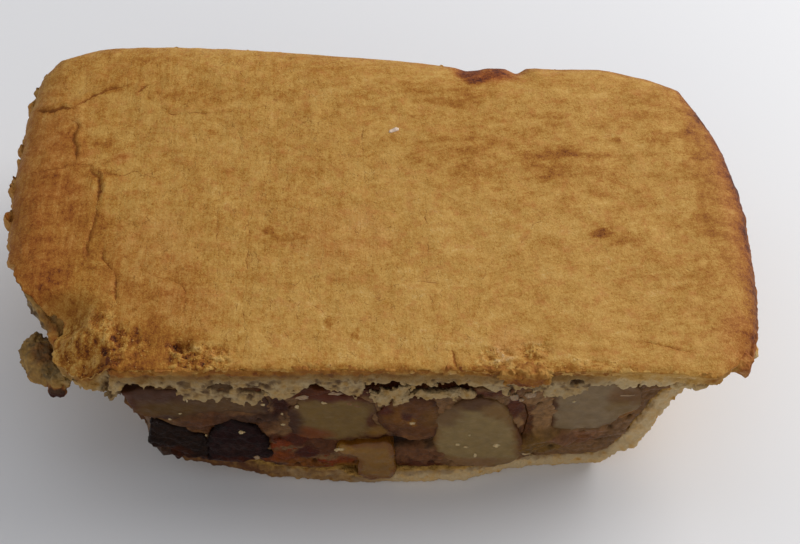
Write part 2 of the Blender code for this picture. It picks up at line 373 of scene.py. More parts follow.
def plan_spots(*rows: tuple) -> tuple:
    """Spots of the plan, each from its x, y, half width, half depth and value."""
    return tuple(Spot(row[:2], row[2:4], row[4]) for row in rows)


def cut_spots(*rows: tuple) -> tuple:
    """Spots of the cut, each from its x, z, half width, half height, value and, where given, strength."""
    return tuple(Spot((x, 0, z), (wide, None, high), *rest) for x, z, wide, high, *rest in rows)


def total_of(spots: tuple, points: Array) -> Array:
    """Sum of what some spots give each point."""
    return np.zeros(len(points)) + sum(spot.value * spot.share(points) for spot in spots)


def painted(tone: Array, spots: tuple, points: Array, *limits: float) -> Array:
    """Colours of points with the colours of some spots blended in, one after the other."""
    for spot in spots:
        share = spot.share(points, *limits)[:, None]
        tone = tone * (1 - share) + share * np.array(linear(spot.value))
    return tone


def with_zero(plan: Array) -> Array:
    """Places of a plan or a line with a third value of 0."""
    return np.hstack([plan, np.zeros((len(plan), 1))])


def linked(name: str, data: bpy.types.ID) -> Object:
    """A new object in the scene."""
    made = bpy.data.objects.new(name, data)
    bpy.context.scene.collection.objects.link(made)
    return made


def make_piece(name: str, points: Array, faces: list | Array) -> Object:
    """An object from points in plan millimetres and faces, smooth shaded."""
    mesh = bpy.data.meshes.new(name)
    mesh.from_pydata(to_frame(points).tolist(), [], [list(map(int, face)) for face in faces])
    mesh.update()
    mesh.shade_smooth()
    return linked(name, mesh)


def dressed_piece(
    name: str, points: Array, faces: list | Array, layers: dict, material: Material
) -> Object:
    """A piece with its layers stored and its material on.

    Args:
        name: the piece's name.
        points: its points in plan millimetres.
        faces: its faces.
        layers: values of each named layer.
        material: what it is dressed in.

    Returns:
        The piece.
    """
    piece = make_piece(name, points, faces)
    for label, values in layers.items():
        set_layer(piece, label, values)
    piece.data.materials.append(material)
    return piece


def plan_points(piece: Object) -> Array:
    """The points of a piece in plan millimetres."""
    flat = np.empty(3 * len(piece.data.vertices), np.float32)
    piece.data.vertices.foreach_get("co", flat)
    return to_plan(flat.reshape(-1, 3).astype(float))


def point_normals(piece: Object) -> Array:
    """The normals of a piece's points."""
    flat = np.empty(3 * len(piece.data.vertices), np.float32)
    piece.data.vertex_normals.foreach_get("vector", flat)
    return flat.reshape(-1, 3).astype(float)


def move_points(piece: Object, points: Array) -> None:
    """Put a piece's points at places in plan millimetres."""
    piece.data.vertices.foreach_set("co", to_frame(points).astype(np.float32).ravel())
    piece.data.update()


def set_layer(piece: Object, label: str, values: Array) -> None:
    """Store one value or one colour for each point."""
    if values.ndim == 1:
        layer = piece.data.attributes.new(label, "FLOAT", "POINT")
        layer.data.foreach_set("value", values.astype(np.float32))
    else:
        layer = piece.data.attributes.new(label, "FLOAT_COLOR", "POINT")
        full = np.hstack([values, np.ones((len(values), 1))])
        layer.data.foreach_set("color", full.astype(np.float32).ravel())


def plain_copy(thing: Object, name: str) -> Object:
    """A plain mesh object of what an object's modifiers make. The object itself is removed."""
    graph = bpy.context.evaluated_depsgraph_get()
    mesh = bpy.data.meshes.new_from_object(thing.evaluated_get(graph))
    bpy.data.objects.remove(thing)
    mesh.name = name
    return linked(name, mesh)


def add_node_mesh(builder: bmesh.types.BMesh, node: str, swell: float = 0.0) -> None:
    """Add a CAD node's merged mesh to a builder, swollen by some millimetres.

    Args:
        builder: what the mesh is added to.
        node: name of the node.
        swell: how far it is swollen.
    """
    part = bmesh.new()
    part.from_mesh(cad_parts[node].data)
    bmesh.ops.remove_doubles(part, verts=part.verts, dist=1e-6)
    bmesh.ops.recalc_face_normals(part, faces=part.faces)
    part.normal_update()
    for vert in part.verts:
        vert.co += swell * MM * vert.normal
    mesh = bpy.data.meshes.new(node)
    part.to_mesh(mesh)
    part.free()
    builder.from_mesh(mesh)
    bpy.data.meshes.remove(mesh)


def copy_of_node(node: str, back_limit: float | None = None, filled_with: tuple = ()) -> Object:
    """A merged copy of a CAD node.

    Args:
        node: name of the node.
        back_limit: where the copy ends behind the cut, in plan millimetres, if it isn't the whole.
        filled_with: nodes that lie in its hollows, added a little swollen so that they fill them.

    Returns:
        The copy, in place.
    """
    builder = bmesh.new()
    add_node_mesh(builder, node)
    for other in filled_with:
        add_node_mesh(builder, other, 0.4)
    if back_limit is not None:
        plane = to_frame(np.array((0.0, back_limit, 0.0)))
        whole = [*builder.verts, *builder.edges, *builder.faces]
        cut = bmesh.ops.bisect_plane(
            builder, geom=whole, plane_co=plane, plane_no=(0, 1, 0), clear_outer=True
        )
        edges = [part for part in cut["geom_cut"] if isinstance(part, bmesh.types.BMEdge)]
        bmesh.ops.holes_fill(builder, edges=edges)
    mesh = bpy.data.meshes.new(f"{node}_copy")
    builder.to_mesh(mesh)
    builder.free()
    return linked(f"{node}_copy", mesh)


def refine_front(piece: Object, depth: float) -> None:
    """Halve a mesh's faces nearer to the cut than depth, in plan millimetres.

    Args:
        piece: the object whose mesh it is.
        depth: how far back faces are halved.
    """
    builder = bmesh.new()
    builder.from_mesh(piece.data)
    limit = (depth + CUT_IN_FRAME[1]) * MM
    edges = [edge for edge in builder.edges if max(vert.co.y for vert in edge.verts) < limit]
    bmesh.ops.subdivide_edges(builder, edges=edges, cuts=1, use_grid_fill=True)
    builder.to_mesh(piece.data)
    builder.free()
    piece.data.update()
    piece.data.shade_smooth()


class Wiring:
    """Adds nodes to a tree and links them."""

    def __init__(self, tree: NodeTree) -> None:
        """Keep the tree."""
        self.tree = tree

    def feed(self, node: Node, inputs: dict) -> None:
        """Lead sockets or values into a node's inputs, by name or number."""
        for label, value in inputs.items():
            if isinstance(value, NodeSocket):
                self.tree.links.new(value, node.inputs[label])
            else:
                node.inputs[label].default_value = value

    def add(self, kind: str, inputs: dict | None = None, **settings: object) -> Node:
        """Add a node.

        Args:
            kind: Blender's name of the node's type.
            inputs: sockets or values by input name or number.
            settings: values of the node's own fields.

        Returns:
            The node.
        """
        node = self.tree.nodes.new(kind)
        for label, value in settings.items():
            setattr(node, label, value)
        self.feed(node, inputs or {})
        return node

    def group(self, tree: NodeTree, inputs: dict) -> NodeSocket:
        """Result of one of the shared node groups."""
        return self.add("ShaderNodeGroup", inputs, node_tree=tree).outputs[0]

    def sum(self, *terms: Fed, kind: str = "ADD") -> NodeSocket:
        """Result of a Math node."""
        return self.add("ShaderNodeMath", dict(enumerate(terms)), operation=kind).outputs[0]

    def minus(self, first: Fed, second: Fed) -> NodeSocket:
        """The first less the second."""
        return self.sum(first, second, kind="SUBTRACT")

    def times(self, first: Fed, second: Fed) -> NodeSocket:
        """The first times the second."""
        return self.sum(first, second, kind="MULTIPLY")

    def vector(self, kind: str, inputs: dict) -> NodeSocket:
        """Result of a Vector Math node."""
        return self.add("ShaderNodeVectorMath", inputs, operation=kind).outputs[0]

    def noise(self, place: NodeSocket, size: float, detail: float = 3.0, rough: float = 0.5) -> NodeSocket:
        """Noise about 0.5 with waves of a size in millimetres, where place is in millimetres too."""
        inputs = {"Vector": place, "Scale": 1 / size, "Detail": detail, "Roughness": rough}
        return self.add("ShaderNodeTexNoise", inputs).outputs["Fac"]

    def swing(self, place: NodeSocket, size: float, detail: float = 3.0, rough: float = 0.5) -> NodeSocket:
        """The same noise about 0."""
        return self.minus(self.noise(place, size, detail, rough), 0.5)

    def stretched(self, place: NodeSocket, sizes: tuple, turn: float = 0.0) -> NodeSocket:
        """Places divided by a size along each axis, after a turn in degrees about the vertical."""
        inputs = {"Vector": place, "Angle": math.radians(turn)}
        turned = self.add("ShaderNodeVectorRotate", inputs, rotation_type="Z_AXIS").outputs[0]
        return self.vector("DIVIDE", {0: turned, 1: sizes})

    def fit(self, value: Fed, low: float, high: float, to_low: Fed, to_high: Fed) -> NodeSocket:
        """Result of a Map Range node."""
        inputs = {"Value": value, "From Min": low, "From Max": high}
        inputs |= {"To Min": to_low, "To Max": to_high}
        return self.add("ShaderNodeMapRange", inputs).outputs["Result"]

    def blend(self, share: Fed, first: Fed, second: Fed, kind: str = "MIX") -> NodeSocket:
        """Result of a colour Mix node."""
        inputs = {0: share, 6: first, 7: second}
        return self.add("ShaderNodeMix", inputs, data_type="RGBA", blend_type=kind).outputs[2]

    def speckled(self, colour: Fed, value: NodeSocket) -> NodeSocket:
        """A colour made lighter or darker by a value about 1."""
        shade = self.add("ShaderNodeCombineColor", {0: value, 1: value, 2: value}).outputs[0]
        return self.blend(1.0, colour, shade, "MULTIPLY")

    def layer(self, label: str, output: str = "Fac") -> NodeSocket:
        """A value or colour stored in the mesh."""
        return self.add("ShaderNodeAttribute", attribute_name=label).outputs[output]


def new_group(name: str, inputs: dict, outputs: dict) -> tuple[NodeTree, Wiring]:
    """An empty shader node group.

    Args:
        name: its name.
        inputs: default number of each named input, or None for one that takes places.
        outputs: kind of each named output, such as Float.

    Returns:
        The group and its wiring, with the group's own input and output nodes as the first two.
    """
    tree = bpy.data.node_groups.new(name, "ShaderNodeTree")
    for label, value in inputs.items():
        kind = "Vector" if value is None else "Float"
        socket = tree.interface.new_socket(name=label, in_out="INPUT", socket_type=f"NodeSocket{kind}")
        if value is not None:
            socket.default_value = value
    for label, kind in outputs.items():
        tree.interface.new_socket(name=label, in_out="OUTPUT", socket_type=f"NodeSocket{kind}")
    wiring = Wiring(tree)
    wiring.add("NodeGroupInput")
    wiring.add("NodeGroupOutput")
    return tree, wiring


class SharedEffects:
    """Node groups that several finishes use."""

    def __init__(self) -> None:
        """Build every group once."""
        self.bake_colour = self.build_bake_colour()
        self.crumb_relief = self.build_crumb_relief()
        self.wet_patches = self.build_wet_patches()

    def build_bake_colour(self) -> NodeTree:
        """Colour of pastry from how far it has browned: 0 is raw and 1 nearly burnt."""
        tree, wiring = new_group("bake_colour", {"Browning": 0.5, "Redness": 0.0}, {"Color": "Color"})
        given, result = tree.nodes[0], tree.nodes[1]
        ramp = wiring.add("ShaderNodeValToRGB", {"Fac": given.outputs["Browning"]})
        stops = (
            (0.0, (200, 176, 132)),
            (0.16, (199, 164, 106)),
            (0.32, (189, 147, 78)),
            (0.48, (174, 129, 61)),
            (0.62, (156, 104, 38)),
            (0.76, (134, 79, 24)),
            (0.9, (98, 48, 16)),
            (1.0, (58, 28, 16)),
        )
        ramp.color_ramp.elements[0].position = stops[0][0]
        ramp.color_ramp.elements[1].position = stops[-1][0]
        for place, _ in stops[1:-1]:
            ramp.color_ramp.elements.new(place)
        for stop, (_, colour) in zip(ramp.color_ramp.elements, stops):
            stop.color = (*linear(colour), 1)
        rosy = wiring.blend(1.0, ramp.outputs["Color"], (1.0, 0.79, 1.0, 1), "MULTIPLY")
        mixed = wiring.blend(given.outputs["Redness"], ramp.outputs["Color"], rosy)
        wiring.feed(result, {"Color": mixed})
        return tree

    def build_crumb_relief(self) -> NodeTree:
        """Height of fine crumb, from waves and grains."""
        inputs = {"Place": None, "Grain": 0.4, "Roughness": 0.5}
        tree, wiring = new_group("crumb_relief", inputs, {"Height": "Float"})
        given, result = tree.nodes[0], tree.nodes[1]
        scale = wiring.sum(1.0, given.outputs["Grain"], kind="DIVIDE")
        where = {"Vector": given.outputs["Place"], "Scale": scale}
        noise = wiring.add("ShaderNodeTexNoise", where | {"Detail": 4.0, "Roughness": 0.65})
        cells = wiring.add("ShaderNodeTexVoronoi", where)
        grains = wiring.times(cells.outputs["Distance"], given.outputs["Roughness"])
        wiring.feed(result, {"Height": wiring.minus(noise.outputs["Fac"], grains)})
        return tree

    def build_wet_patches(self) -> NodeTree:
        """Roughness of something moist: glossy with duller patches."""
        inputs = {"Place": None, "Wet": 0.2, "Dry": 0.5, "Size": 1.5}
        tree, wiring = new_group("wet_patches", inputs, {"Roughness": "Float"})
        given, result = tree.nodes[0], tree.nodes[1]
        scale = wiring.sum(1.0, given.outputs["Size"], kind="DIVIDE")
        where = {"Vector": given.outputs["Place"], "Scale": scale, "Detail": 3.0}
        noise = wiring.add("ShaderNodeTexNoise", where).outputs["Fac"]
        spread = wiring.fit(noise, 0.38, 0.62, given.outputs["Wet"], given.outputs["Dry"])
        wiring.feed(result, {"Roughness": spread})
        return tree


class Finish:
    """Ground that every finish shares: a Principled material with places in millimetres."""

    def start(self, name: str) -> tuple[Material, Wiring, Node, NodeSocket]:
        """A new material.

        Args:
            name: its name.

        Returns:
            The material, its wiring, its Principled shader and its places in millimetres.
        """
        material = bpy.data.materials.new(name)
        material.use_nodes = True
        wiring = Wiring(material.node_tree)
        shader = material.node_tree.nodes["Principled BSDF"]
        coordinates = wiring.add("ShaderNodeTexCoord").outputs["Object"]
        return material, wiring, shader, wiring.vector("SCALE", {0: coordinates, 3: 1 / MM})

    def bump(self, wiring: Wiring, shader: Node, height: NodeSocket, depth: float, strength: float) -> None:
        """Lead a height into the shader's normal. depth is in millimetres."""
        inputs = {"Height": height, "Distance": depth * MM, "Strength": strength}
        wiring.feed(shader, {"Normal": wiring.add("ShaderNodeBump", inputs).outputs["Normal"]})


@dataclass(frozen=True)
class LidSkinFinish(Finish):
    """The lid's browned top: streaks, pores and hairline cracks over its own browning."""

    roughness: float = 0.62
    pore_depth: float = 0.11

    def build(self, effects: SharedEffects) -> Material:
        """Make the material.

        Args:
            effects: the shared node groups.

        Returns:
            The material.
        """
        material, wiring, shader, place = self.start("lid_skin")
        browning = wiring.layer("browning")
        lengthwise = wiring.layer("lengthwise")
        along_back = wiring.swing(wiring.stretched(place, (0.35, 5.0, 1.0)), 1.0)
        along_cut = wiring.swing(wiring.stretched(place, (4.5, 0.45, 1.0), -14), 1.0)
        streak = wiring.sum(
            wiring.times(lengthwise, along_back), wiring.times(wiring.minus(1.0, lengthwise), along_cut)
        )
        mottle = wiring.swing(place, 1.3, 4.0, 0.6)
        pits = wiring.fit(wiring.noise(place, 0.42, 3.0, 0.65), 0.62, 0.75, 0.0, 1.0)
        small = wiring.swing(place, 0.5, 3.0, 0.7)
        grit = wiring.swing(place, 0.2, 2.0, 0.7)
        crumbly = wiring.times(wiring.layer("ragged"), wiring.swing(place, 0.42, 2.0, 0.6))
        tone = browning
        parts = ((streak, 0.22), (mottle, 0.36), (pits, 0.12), (small, 0.44), (grit, 0.5), (crumbly, 0.55))
        for part, share in parts:
            tone = wiring.sum(tone, wiring.times(part, share))
        shaded = wiring.group(effects.bake_colour, {"Browning": tone, "Redness": wiring.layer("redness")})
        pale = wiring.fit(browning, 0.5, 0.66, 1.0, 0.0)
        for size, low, high, most, stain in (
            (2.4, 0.5, 0.7, 0.6, (170, 107, 52)),
            (1.9, 0.53, 0.7, 0.6, (196, 152, 82)),
            (0.8, 0.58, 0.7, 0.5, (158, 112, 32)),
        ):
            share = wiring.fit(wiring.noise(place, size, 5.0, 0.65), low, high, 0.0, most)
            shaded = wiring.blend(wiring.times(share, pale), shaded, (*linear(stain), 1))
        hairline = self.hairlines(wiring, place, lengthwise)
        within = self.within_crack(wiring, place)
        crack = wiring.fit(within, 0.0, 0.12, 0.0, 0.85)
        # Hairlines and cracks are painted a darker orange-brown; the still darker brown in the middle of the
        # wider cracks is painted shade.
        for share, dark in (
            (wiring.times(hairline, 0.5), (126, 78, 26)),
            (crack, (140, 82, 26)),
            (wiring.fit(within, 0.1, 0.32, 0.0, 0.7), (96, 52, 18)),
        ):
            shaded = wiring.blend(share, shaded, (*linear(dark), 1))
        grain = {"Place": place, "Grain": 0.45, "Roughness": 0.4}
        height = wiring.sum(wiring.group(effects.crumb_relief, grain), wiring.times(streak, 0.25))
        for part, depth in ((crumbly, 2.5), (pits, 0.5), (crack, 0.9), (hairline, 0.35)):
            height = wiring.minus(height, wiring.times(part, depth))
        self.bump(wiring, shader, height, self.pore_depth, 0.9)
        looks = {"Base Color": shaded, "Roughness": self.roughness, "Specular IOR Level": 0.12}
        wiring.feed(shader, looks)
        return material

    def hairlines(self, wiring: Wiring, place: NodeSocket, lengthwise: NodeSocket) -> NodeSocket:
        """1 on fine broken lines that run back from the cut.

        Args:
            wiring: the material's wiring.
            place: places in millimetres.
            lengthwise: where the skin's lines run back from the cut.

        Returns:
            The share of line at each place.
        """
        inputs = {"Vector": place, "Scale": 0.9, "Detail": 4.0}
        noise = wiring.add("ShaderNodeTexNoise", inputs).outputs["Color"]
        long_cells = wiring.stretched(place, (2.4, 7.5, 60.0))
        mixed = wiring.vector("ADD", {0: wiring.vector("SCALE", {0: noise, 3: 0.45}), 1: long_cells})
        inputs = {"Vector": mixed, "Scale": 1.0}
        cells = wiring.add("ShaderNodeTexVoronoi", inputs, feature="DISTANCE_TO_EDGE")
        line = wiring.fit(cells.outputs["Distance"], 0.006, 0.03, 1.0, 0.0)
        broken = wiring.fit(wiring.noise(place, 1.6, 4.0, 0.75), 0.53, 0.6, 0.0, 1.0)
        return wiring.times(wiring.times(line, broken), wiring.fit(lengthwise, 0.1, 0.6, 0.15, 1.0))

    def within_crack(self, wiring: Wiring, place: NodeSocket) -> NodeSocket:
        """How far inside a crack a place is, from the signed distance and half width in the mesh."""
        moved = wiring.sum(wiring.layer("crack_side"), wiring.times(wiring.swing(place, 0.5), 0.6))
        return wiring.minus(wiring.layer("crack_width"), wiring.sum(moved, kind="ABSOLUTE"))


@dataclass(frozen=True)
class PastryFinish(Finish):
    """Broken or unglazed pastry: crumbly, dull and pale."""

    name: str
    grain: float = 0.5
    depth: float = 0.25
    spread: float = 0.16
    stain: tuple = (92, 56, 32)

    def build(self, effects: SharedEffects) -> Material:
        """Make the material.

        Args:
            effects: the shared node groups.

        Returns:
            The material.
        """
        material, wiring, shader, place = self.start(self.name)
        mottle = wiring.times(wiring.swing(place, 1.1, 4.0, 0.6), 2 * self.spread)
        fine = wiring.times(wiring.swing(place, 0.3, 3.0, 0.6), self.spread)
        tone = wiring.sum(wiring.sum(wiring.layer("browning"), mottle), fine)
        baked = wiring.group(effects.bake_colour, {"Browning": tone, "Redness": wiring.layer("redness")})
        # The gravy layer blends in the stain colour: soaked gravy, and painted shade where a piece's layer
        # holds it, as on the lid's crumb and the base's cut strip.
        stained = wiring.blend(wiring.layer("gravy"), baked, (*linear(self.stain), 1))
        grain = {"Place": place, "Grain": self.grain, "Roughness": 0.7}
        self.bump(wiring, shader, wiring.group(effects.crumb_relief, grain), self.depth, 0.9)
        wiring.feed(shader, {"Base Color": stained, "Roughness": 0.8, "Specular IOR Level": 0.25})
        return material


@dataclass(frozen=True)
class MoistFinish(Finish):
    """Something cooked in gravy: its own colours with fine mottling, and a wet surface."""

    name: str
    wet: float = 0.22
    dry: float = 0.5
    mottle_size: float = 1.0
    mottle: float = 0.35
    grain: float = 0.5
    depth: float = 0.12
    shine: float = 0.14
    glow: float = 0.0
    glow_colour: tuple = (1.0, 0.6, 0.3)

    def build(self, effects: SharedEffects) -> Material:
        """Make the material.

        Args:
            effects: the shared node groups.

        Returns:
            The material.
        """
        material, wiring, shader, place = self.start(self.name)
        waves = wiring.noise(place, self.mottle_size, 4.0, 0.6)
        light = wiring.fit(waves, 0.3, 0.7, 1 - self.mottle, 1 + self.mottle)
        colour = wiring.speckled(wiring.layer("tone", "Color"), light)
        wetness = {"Place": place, "Wet": self.wet, "Dry": self.dry, "Size": 1.4}
        patches = wiring.group(effects.wet_patches, wetness)
        wiring.feed(shader, {"Base Color": colour, "Roughness": patches, "Specular IOR Level": self.shine})
        if self.glow > 0:
            reach = {"Subsurface Radius": self.glow_colour, "Subsurface Scale": 1.2 * MM}
            wiring.feed(shader, {"Subsurface Weight": self.glow} | reach)
        grain = {"Place": place, "Grain": self.grain, "Roughness": 0.4}
        self.bump(wiring, shader, wiring.group(effects.crumb_relief, grain), self.depth, 0.8)
        return material


@dataclass(frozen=True)
class PlainFinish(Finish):
    """One even colour, for crumbs, specks and the floor."""

    name: str
    colour: tuple
    roughness: float = 0.6
    variation: float = 0.12

    def build(self) -> Material:
        """Make the material."""
        material, wiring, shader, place = self.start(self.name)
        light = wiring.fit(wiring.noise(place, 0.6), 0.3, 0.7, 1 - self.variation, 1 + self.variation)
        colour = wiring.speckled((*linear(self.colour), 1), light)
        wiring.feed(shader, {"Base Color": colour, "Roughness": self.roughness})
        return material


class ShapeTrees:
    """Geometry Nodes trees: relief on a surface, and crumbs scattered on one."""

    def __init__(self) -> None:
        """Build both trees."""
        self.relief = self.build_relief()
        self.crumbs = self.build_crumbs()

    def new_tree(self, name: str, inputs: dict) -> tuple[NodeTree, Wiring, Node]:
        """An empty tree with a mesh in and out.

        Args:
            name: its name.
            inputs: kind and default value of each further named input.

        Returns:
            The tree, its wiring and its input node.
        """
        tree = bpy.data.node_groups.new(name, "GeometryNodeTree")
        tree.interface.new_socket(name="Mesh", in_out="INPUT", socket_type="NodeSocketGeometry")
        tree.interface.new_socket(name="Mesh", in_out="OUTPUT", socket_type="NodeSocketGeometry")
        for label, (kind, value) in inputs.items():
            socket = tree.interface.new_socket(name=label, in_out="INPUT", socket_type=f"NodeSocket{kind}")
            if value is not None:
                socket.default_value = value
        wiring = Wiring(tree)
        return tree, wiring, wiring.add("NodeGroupInput")

    def finish_tree(self, wiring: Wiring, given: Node, mesh: NodeSocket) -> None:
        """End a tree in Realize Instances and Set Material."""
        real = wiring.add("GeometryNodeRealizeInstances", {"Geometry": mesh}).outputs[0]
        inputs = {"Geometry": real, "Material": given.outputs["Material"]}
        dressed = wiring.add("GeometryNodeSetMaterial", inputs).outputs[0]
        wiring.add("NodeGroupOutput", {0: dressed})

    def push(self, wiring: Wiring, given: Node, size: str, height: str, detail: float) -> NodeSocket:
        """How far noise of a named size and height moves a surface, in metres.

        Args:
            wiring: the tree's wiring.
            given: its input node.
            size: name of the input with the waves' size.
            height: name of the input with their height.
            detail: how fine the noise is.

        Returns:
            The distance, above 0 outwards.
        """
        scale = wiring.sum(1 / MM, given.outputs[size], kind="DIVIDE")
        place = wiring.add("GeometryNodeInputPosition").outputs[0]
        inputs = {"Vector": place, "W": given.outputs["Seed"], "Scale": scale, "Detail": detail}
        noise = wiring.add("ShaderNodeTexNoise", inputs, noise_dimensions="4D").outputs[0]
        return wiring.times(wiring.minus(noise, 0.5), wiring.times(given.outputs[height], 2 * MM))

    def build_relief(self) -> NodeTree:
        """Lumps and grains that move a surface along its normals. Sizes are in millimetres."""
        inputs = {
            "Lump Size": ("Float", 6.0),
            "Lump Height": ("Float", 0.5),
            "Grain Size": ("Float", 1.2),
            "Grain Height": ("Float", 0.2),
            "Swell": ("Float", 0.0),
            "Seed": ("Float", 0.0),
            "Material": ("Material", None),
        }
        tree, wiring, given = self.new_tree("surface_relief", inputs)
        lumps = self.push(wiring, given, "Lump Size", "Lump Height", 1.0)
        grains = self.push(wiring, given, "Grain Size", "Grain Height", 3.0)
        away = wiring.sum(wiring.sum(lumps, grains), wiring.times(given.outputs["Swell"], MM))
        normal = wiring.add("GeometryNodeInputNormal").outputs[0]
        offset = wiring.vector("SCALE", {0: normal, 3: away})
        inputs = {"Geometry": given.outputs["Mesh"], "Offset": offset}
        moved = wiring.add("GeometryNodeSetPosition", inputs).outputs[0]
        self.finish_tree(wiring, given, moved)
        return tree

    def build_crumbs(self) -> NodeTree:
        """Crumbs scattered where a mask says, each an uneven small ball. Sizes are in millimetres."""
        inputs = {
            "Mask": ("String", "crumb_mask"),
            "Crumbs per cm2": ("Float", 40.0),
            "Smallest": ("Float", 0.2),
            "Largest": ("Float", 0.8),
            "Seed": ("Int", 1),
            "Material": ("Material", None),
        }
        tree, wiring, given = self.new_tree("scattered_crumbs", inputs)
        mask = wiring.add("GeometryNodeInputNamedAttribute", {"Name": given.outputs["Mask"]})
        density = wiring.times(mask.outputs[0], wiring.times(given.outputs["Crumbs per cm2"], 1e4))
        inputs = {"Mesh": given.outputs["Mesh"], "Density": density, "Seed": given.outputs["Seed"]}
        scattered = wiring.add("GeometryNodeDistributePointsOnFaces", inputs)
        ball = wiring.add("GeometryNodeMeshIcoSphere", {"Radius": 0.5, "Subdivisions": 2}).outputs[0]
        place = wiring.add("GeometryNodeInputPosition").outputs[0]
        dents = wiring.add("ShaderNodeTexNoise", {"Vector": place, "Scale": 1.7}).outputs["Color"]
        offset = wiring.vector("SCALE", {0: wiring.vector("SUBTRACT", {0: dents, 1: (0.5,) * 3}), 3: 1.1})
        lump = wiring.add("GeometryNodeSetPosition", {"Geometry": ball, "Offset": offset}).outputs[0]
        smallest = wiring.times(given.outputs["Smallest"], MM)
        largest = wiring.times(given.outputs["Largest"], MM)
        inputs = {2: smallest, 3: largest, "Seed": given.outputs["Seed"]}
        size = wiring.add("FunctionNodeRandomValue", inputs).outputs[1]
        shape = self.random_vector(wiring, (0.6, 0.6, 0.45), (1.3, 1.0, 0.9))
        inputs = {
            "Points": scattered.outputs["Points"],
            "Instance": lump,
            "Rotation": self.random_vector(wiring, (0, 0, 0), (6.28, 6.28, 6.28)),
            "Scale": wiring.vector("SCALE", {0: shape, 3: size}),
        }
        self.finish_tree(wiring, given, wiring.add("GeometryNodeInstanceOnPoints", inputs).outputs[0])
        return tree

    def random_vector(self, wiring: Wiring, low: tuple, high: tuple) -> NodeSocket:
        """A random vector between two for each point."""
        inputs = {0: low, 1: high}
        return wiring.add("FunctionNodeRandomValue", inputs, data_type="FLOAT_VECTOR").outputs[0]

    def apply(self, thing: Object, tree: NodeTree, values: dict) -> None:
        """Put a tree on an object as a modifier and set its named inputs."""
        modifier = thing.modifiers.new(tree.name, "NODES")
        modifier.node_group = tree
        for item in tree.interface.items_tree:
            if item.in_out == "INPUT" and item.name in values:
                modifier[item.identifier] = values[item.name]


@dataclass(frozen=True)
class Relief:
    """How a CAD solid is given its fine shape. Sizes are in millimetres."""

    pitch: float
    rounding: int
    lump_size: float = 6.0
    lump_height: float = 0.4
    grain_size: float = 1.2
    grain_height: float = 0.15
    swell: float = 0.0
    seed: float = 0.0

    def shaped(
        self,
        node: str,
        trees: ShapeTrees,
        material: Material,
        back_limit: float | None = None,
        filled_with: tuple = (),
    ) -> Object:
        """The finely shaped mesh of a CAD node.

        Args:
            node: name of the node.
            trees: the Geometry Nodes trees.
            material: what it is dressed in.
            back_limit: where the mesh ends behind the cut, if it isn't the whole.
            filled_with: nodes whose hollows in it are filled.

        Returns:
            A plain mesh object, named after the node.
        """
        thing = copy_of_node(node, back_limit, filled_with)
        remesh = thing.modifiers.new("Even mesh", "REMESH")
        remesh.mode = "VOXEL"
        remesh.voxel_size = self.pitch * MM
        remesh.use_smooth_shade = True
        if self.rounding:
            smooth = thing.modifiers.new("Rounding", "SMOOTH")
            smooth.factor = 0.5
            smooth.iterations = self.rounding
        values = {
            "Lump Size": self.lump_size,
            "Lump Height": self.lump_height,
            "Grain Size": self.grain_size,
            "Grain Height": self.grain_height,
            "Swell": self.swell,
            "Seed": self.seed,
            "Material": material,
        }
        trees.apply(thing, trees.relief, values)
        return plain_copy(thing, f"{node}_shown")


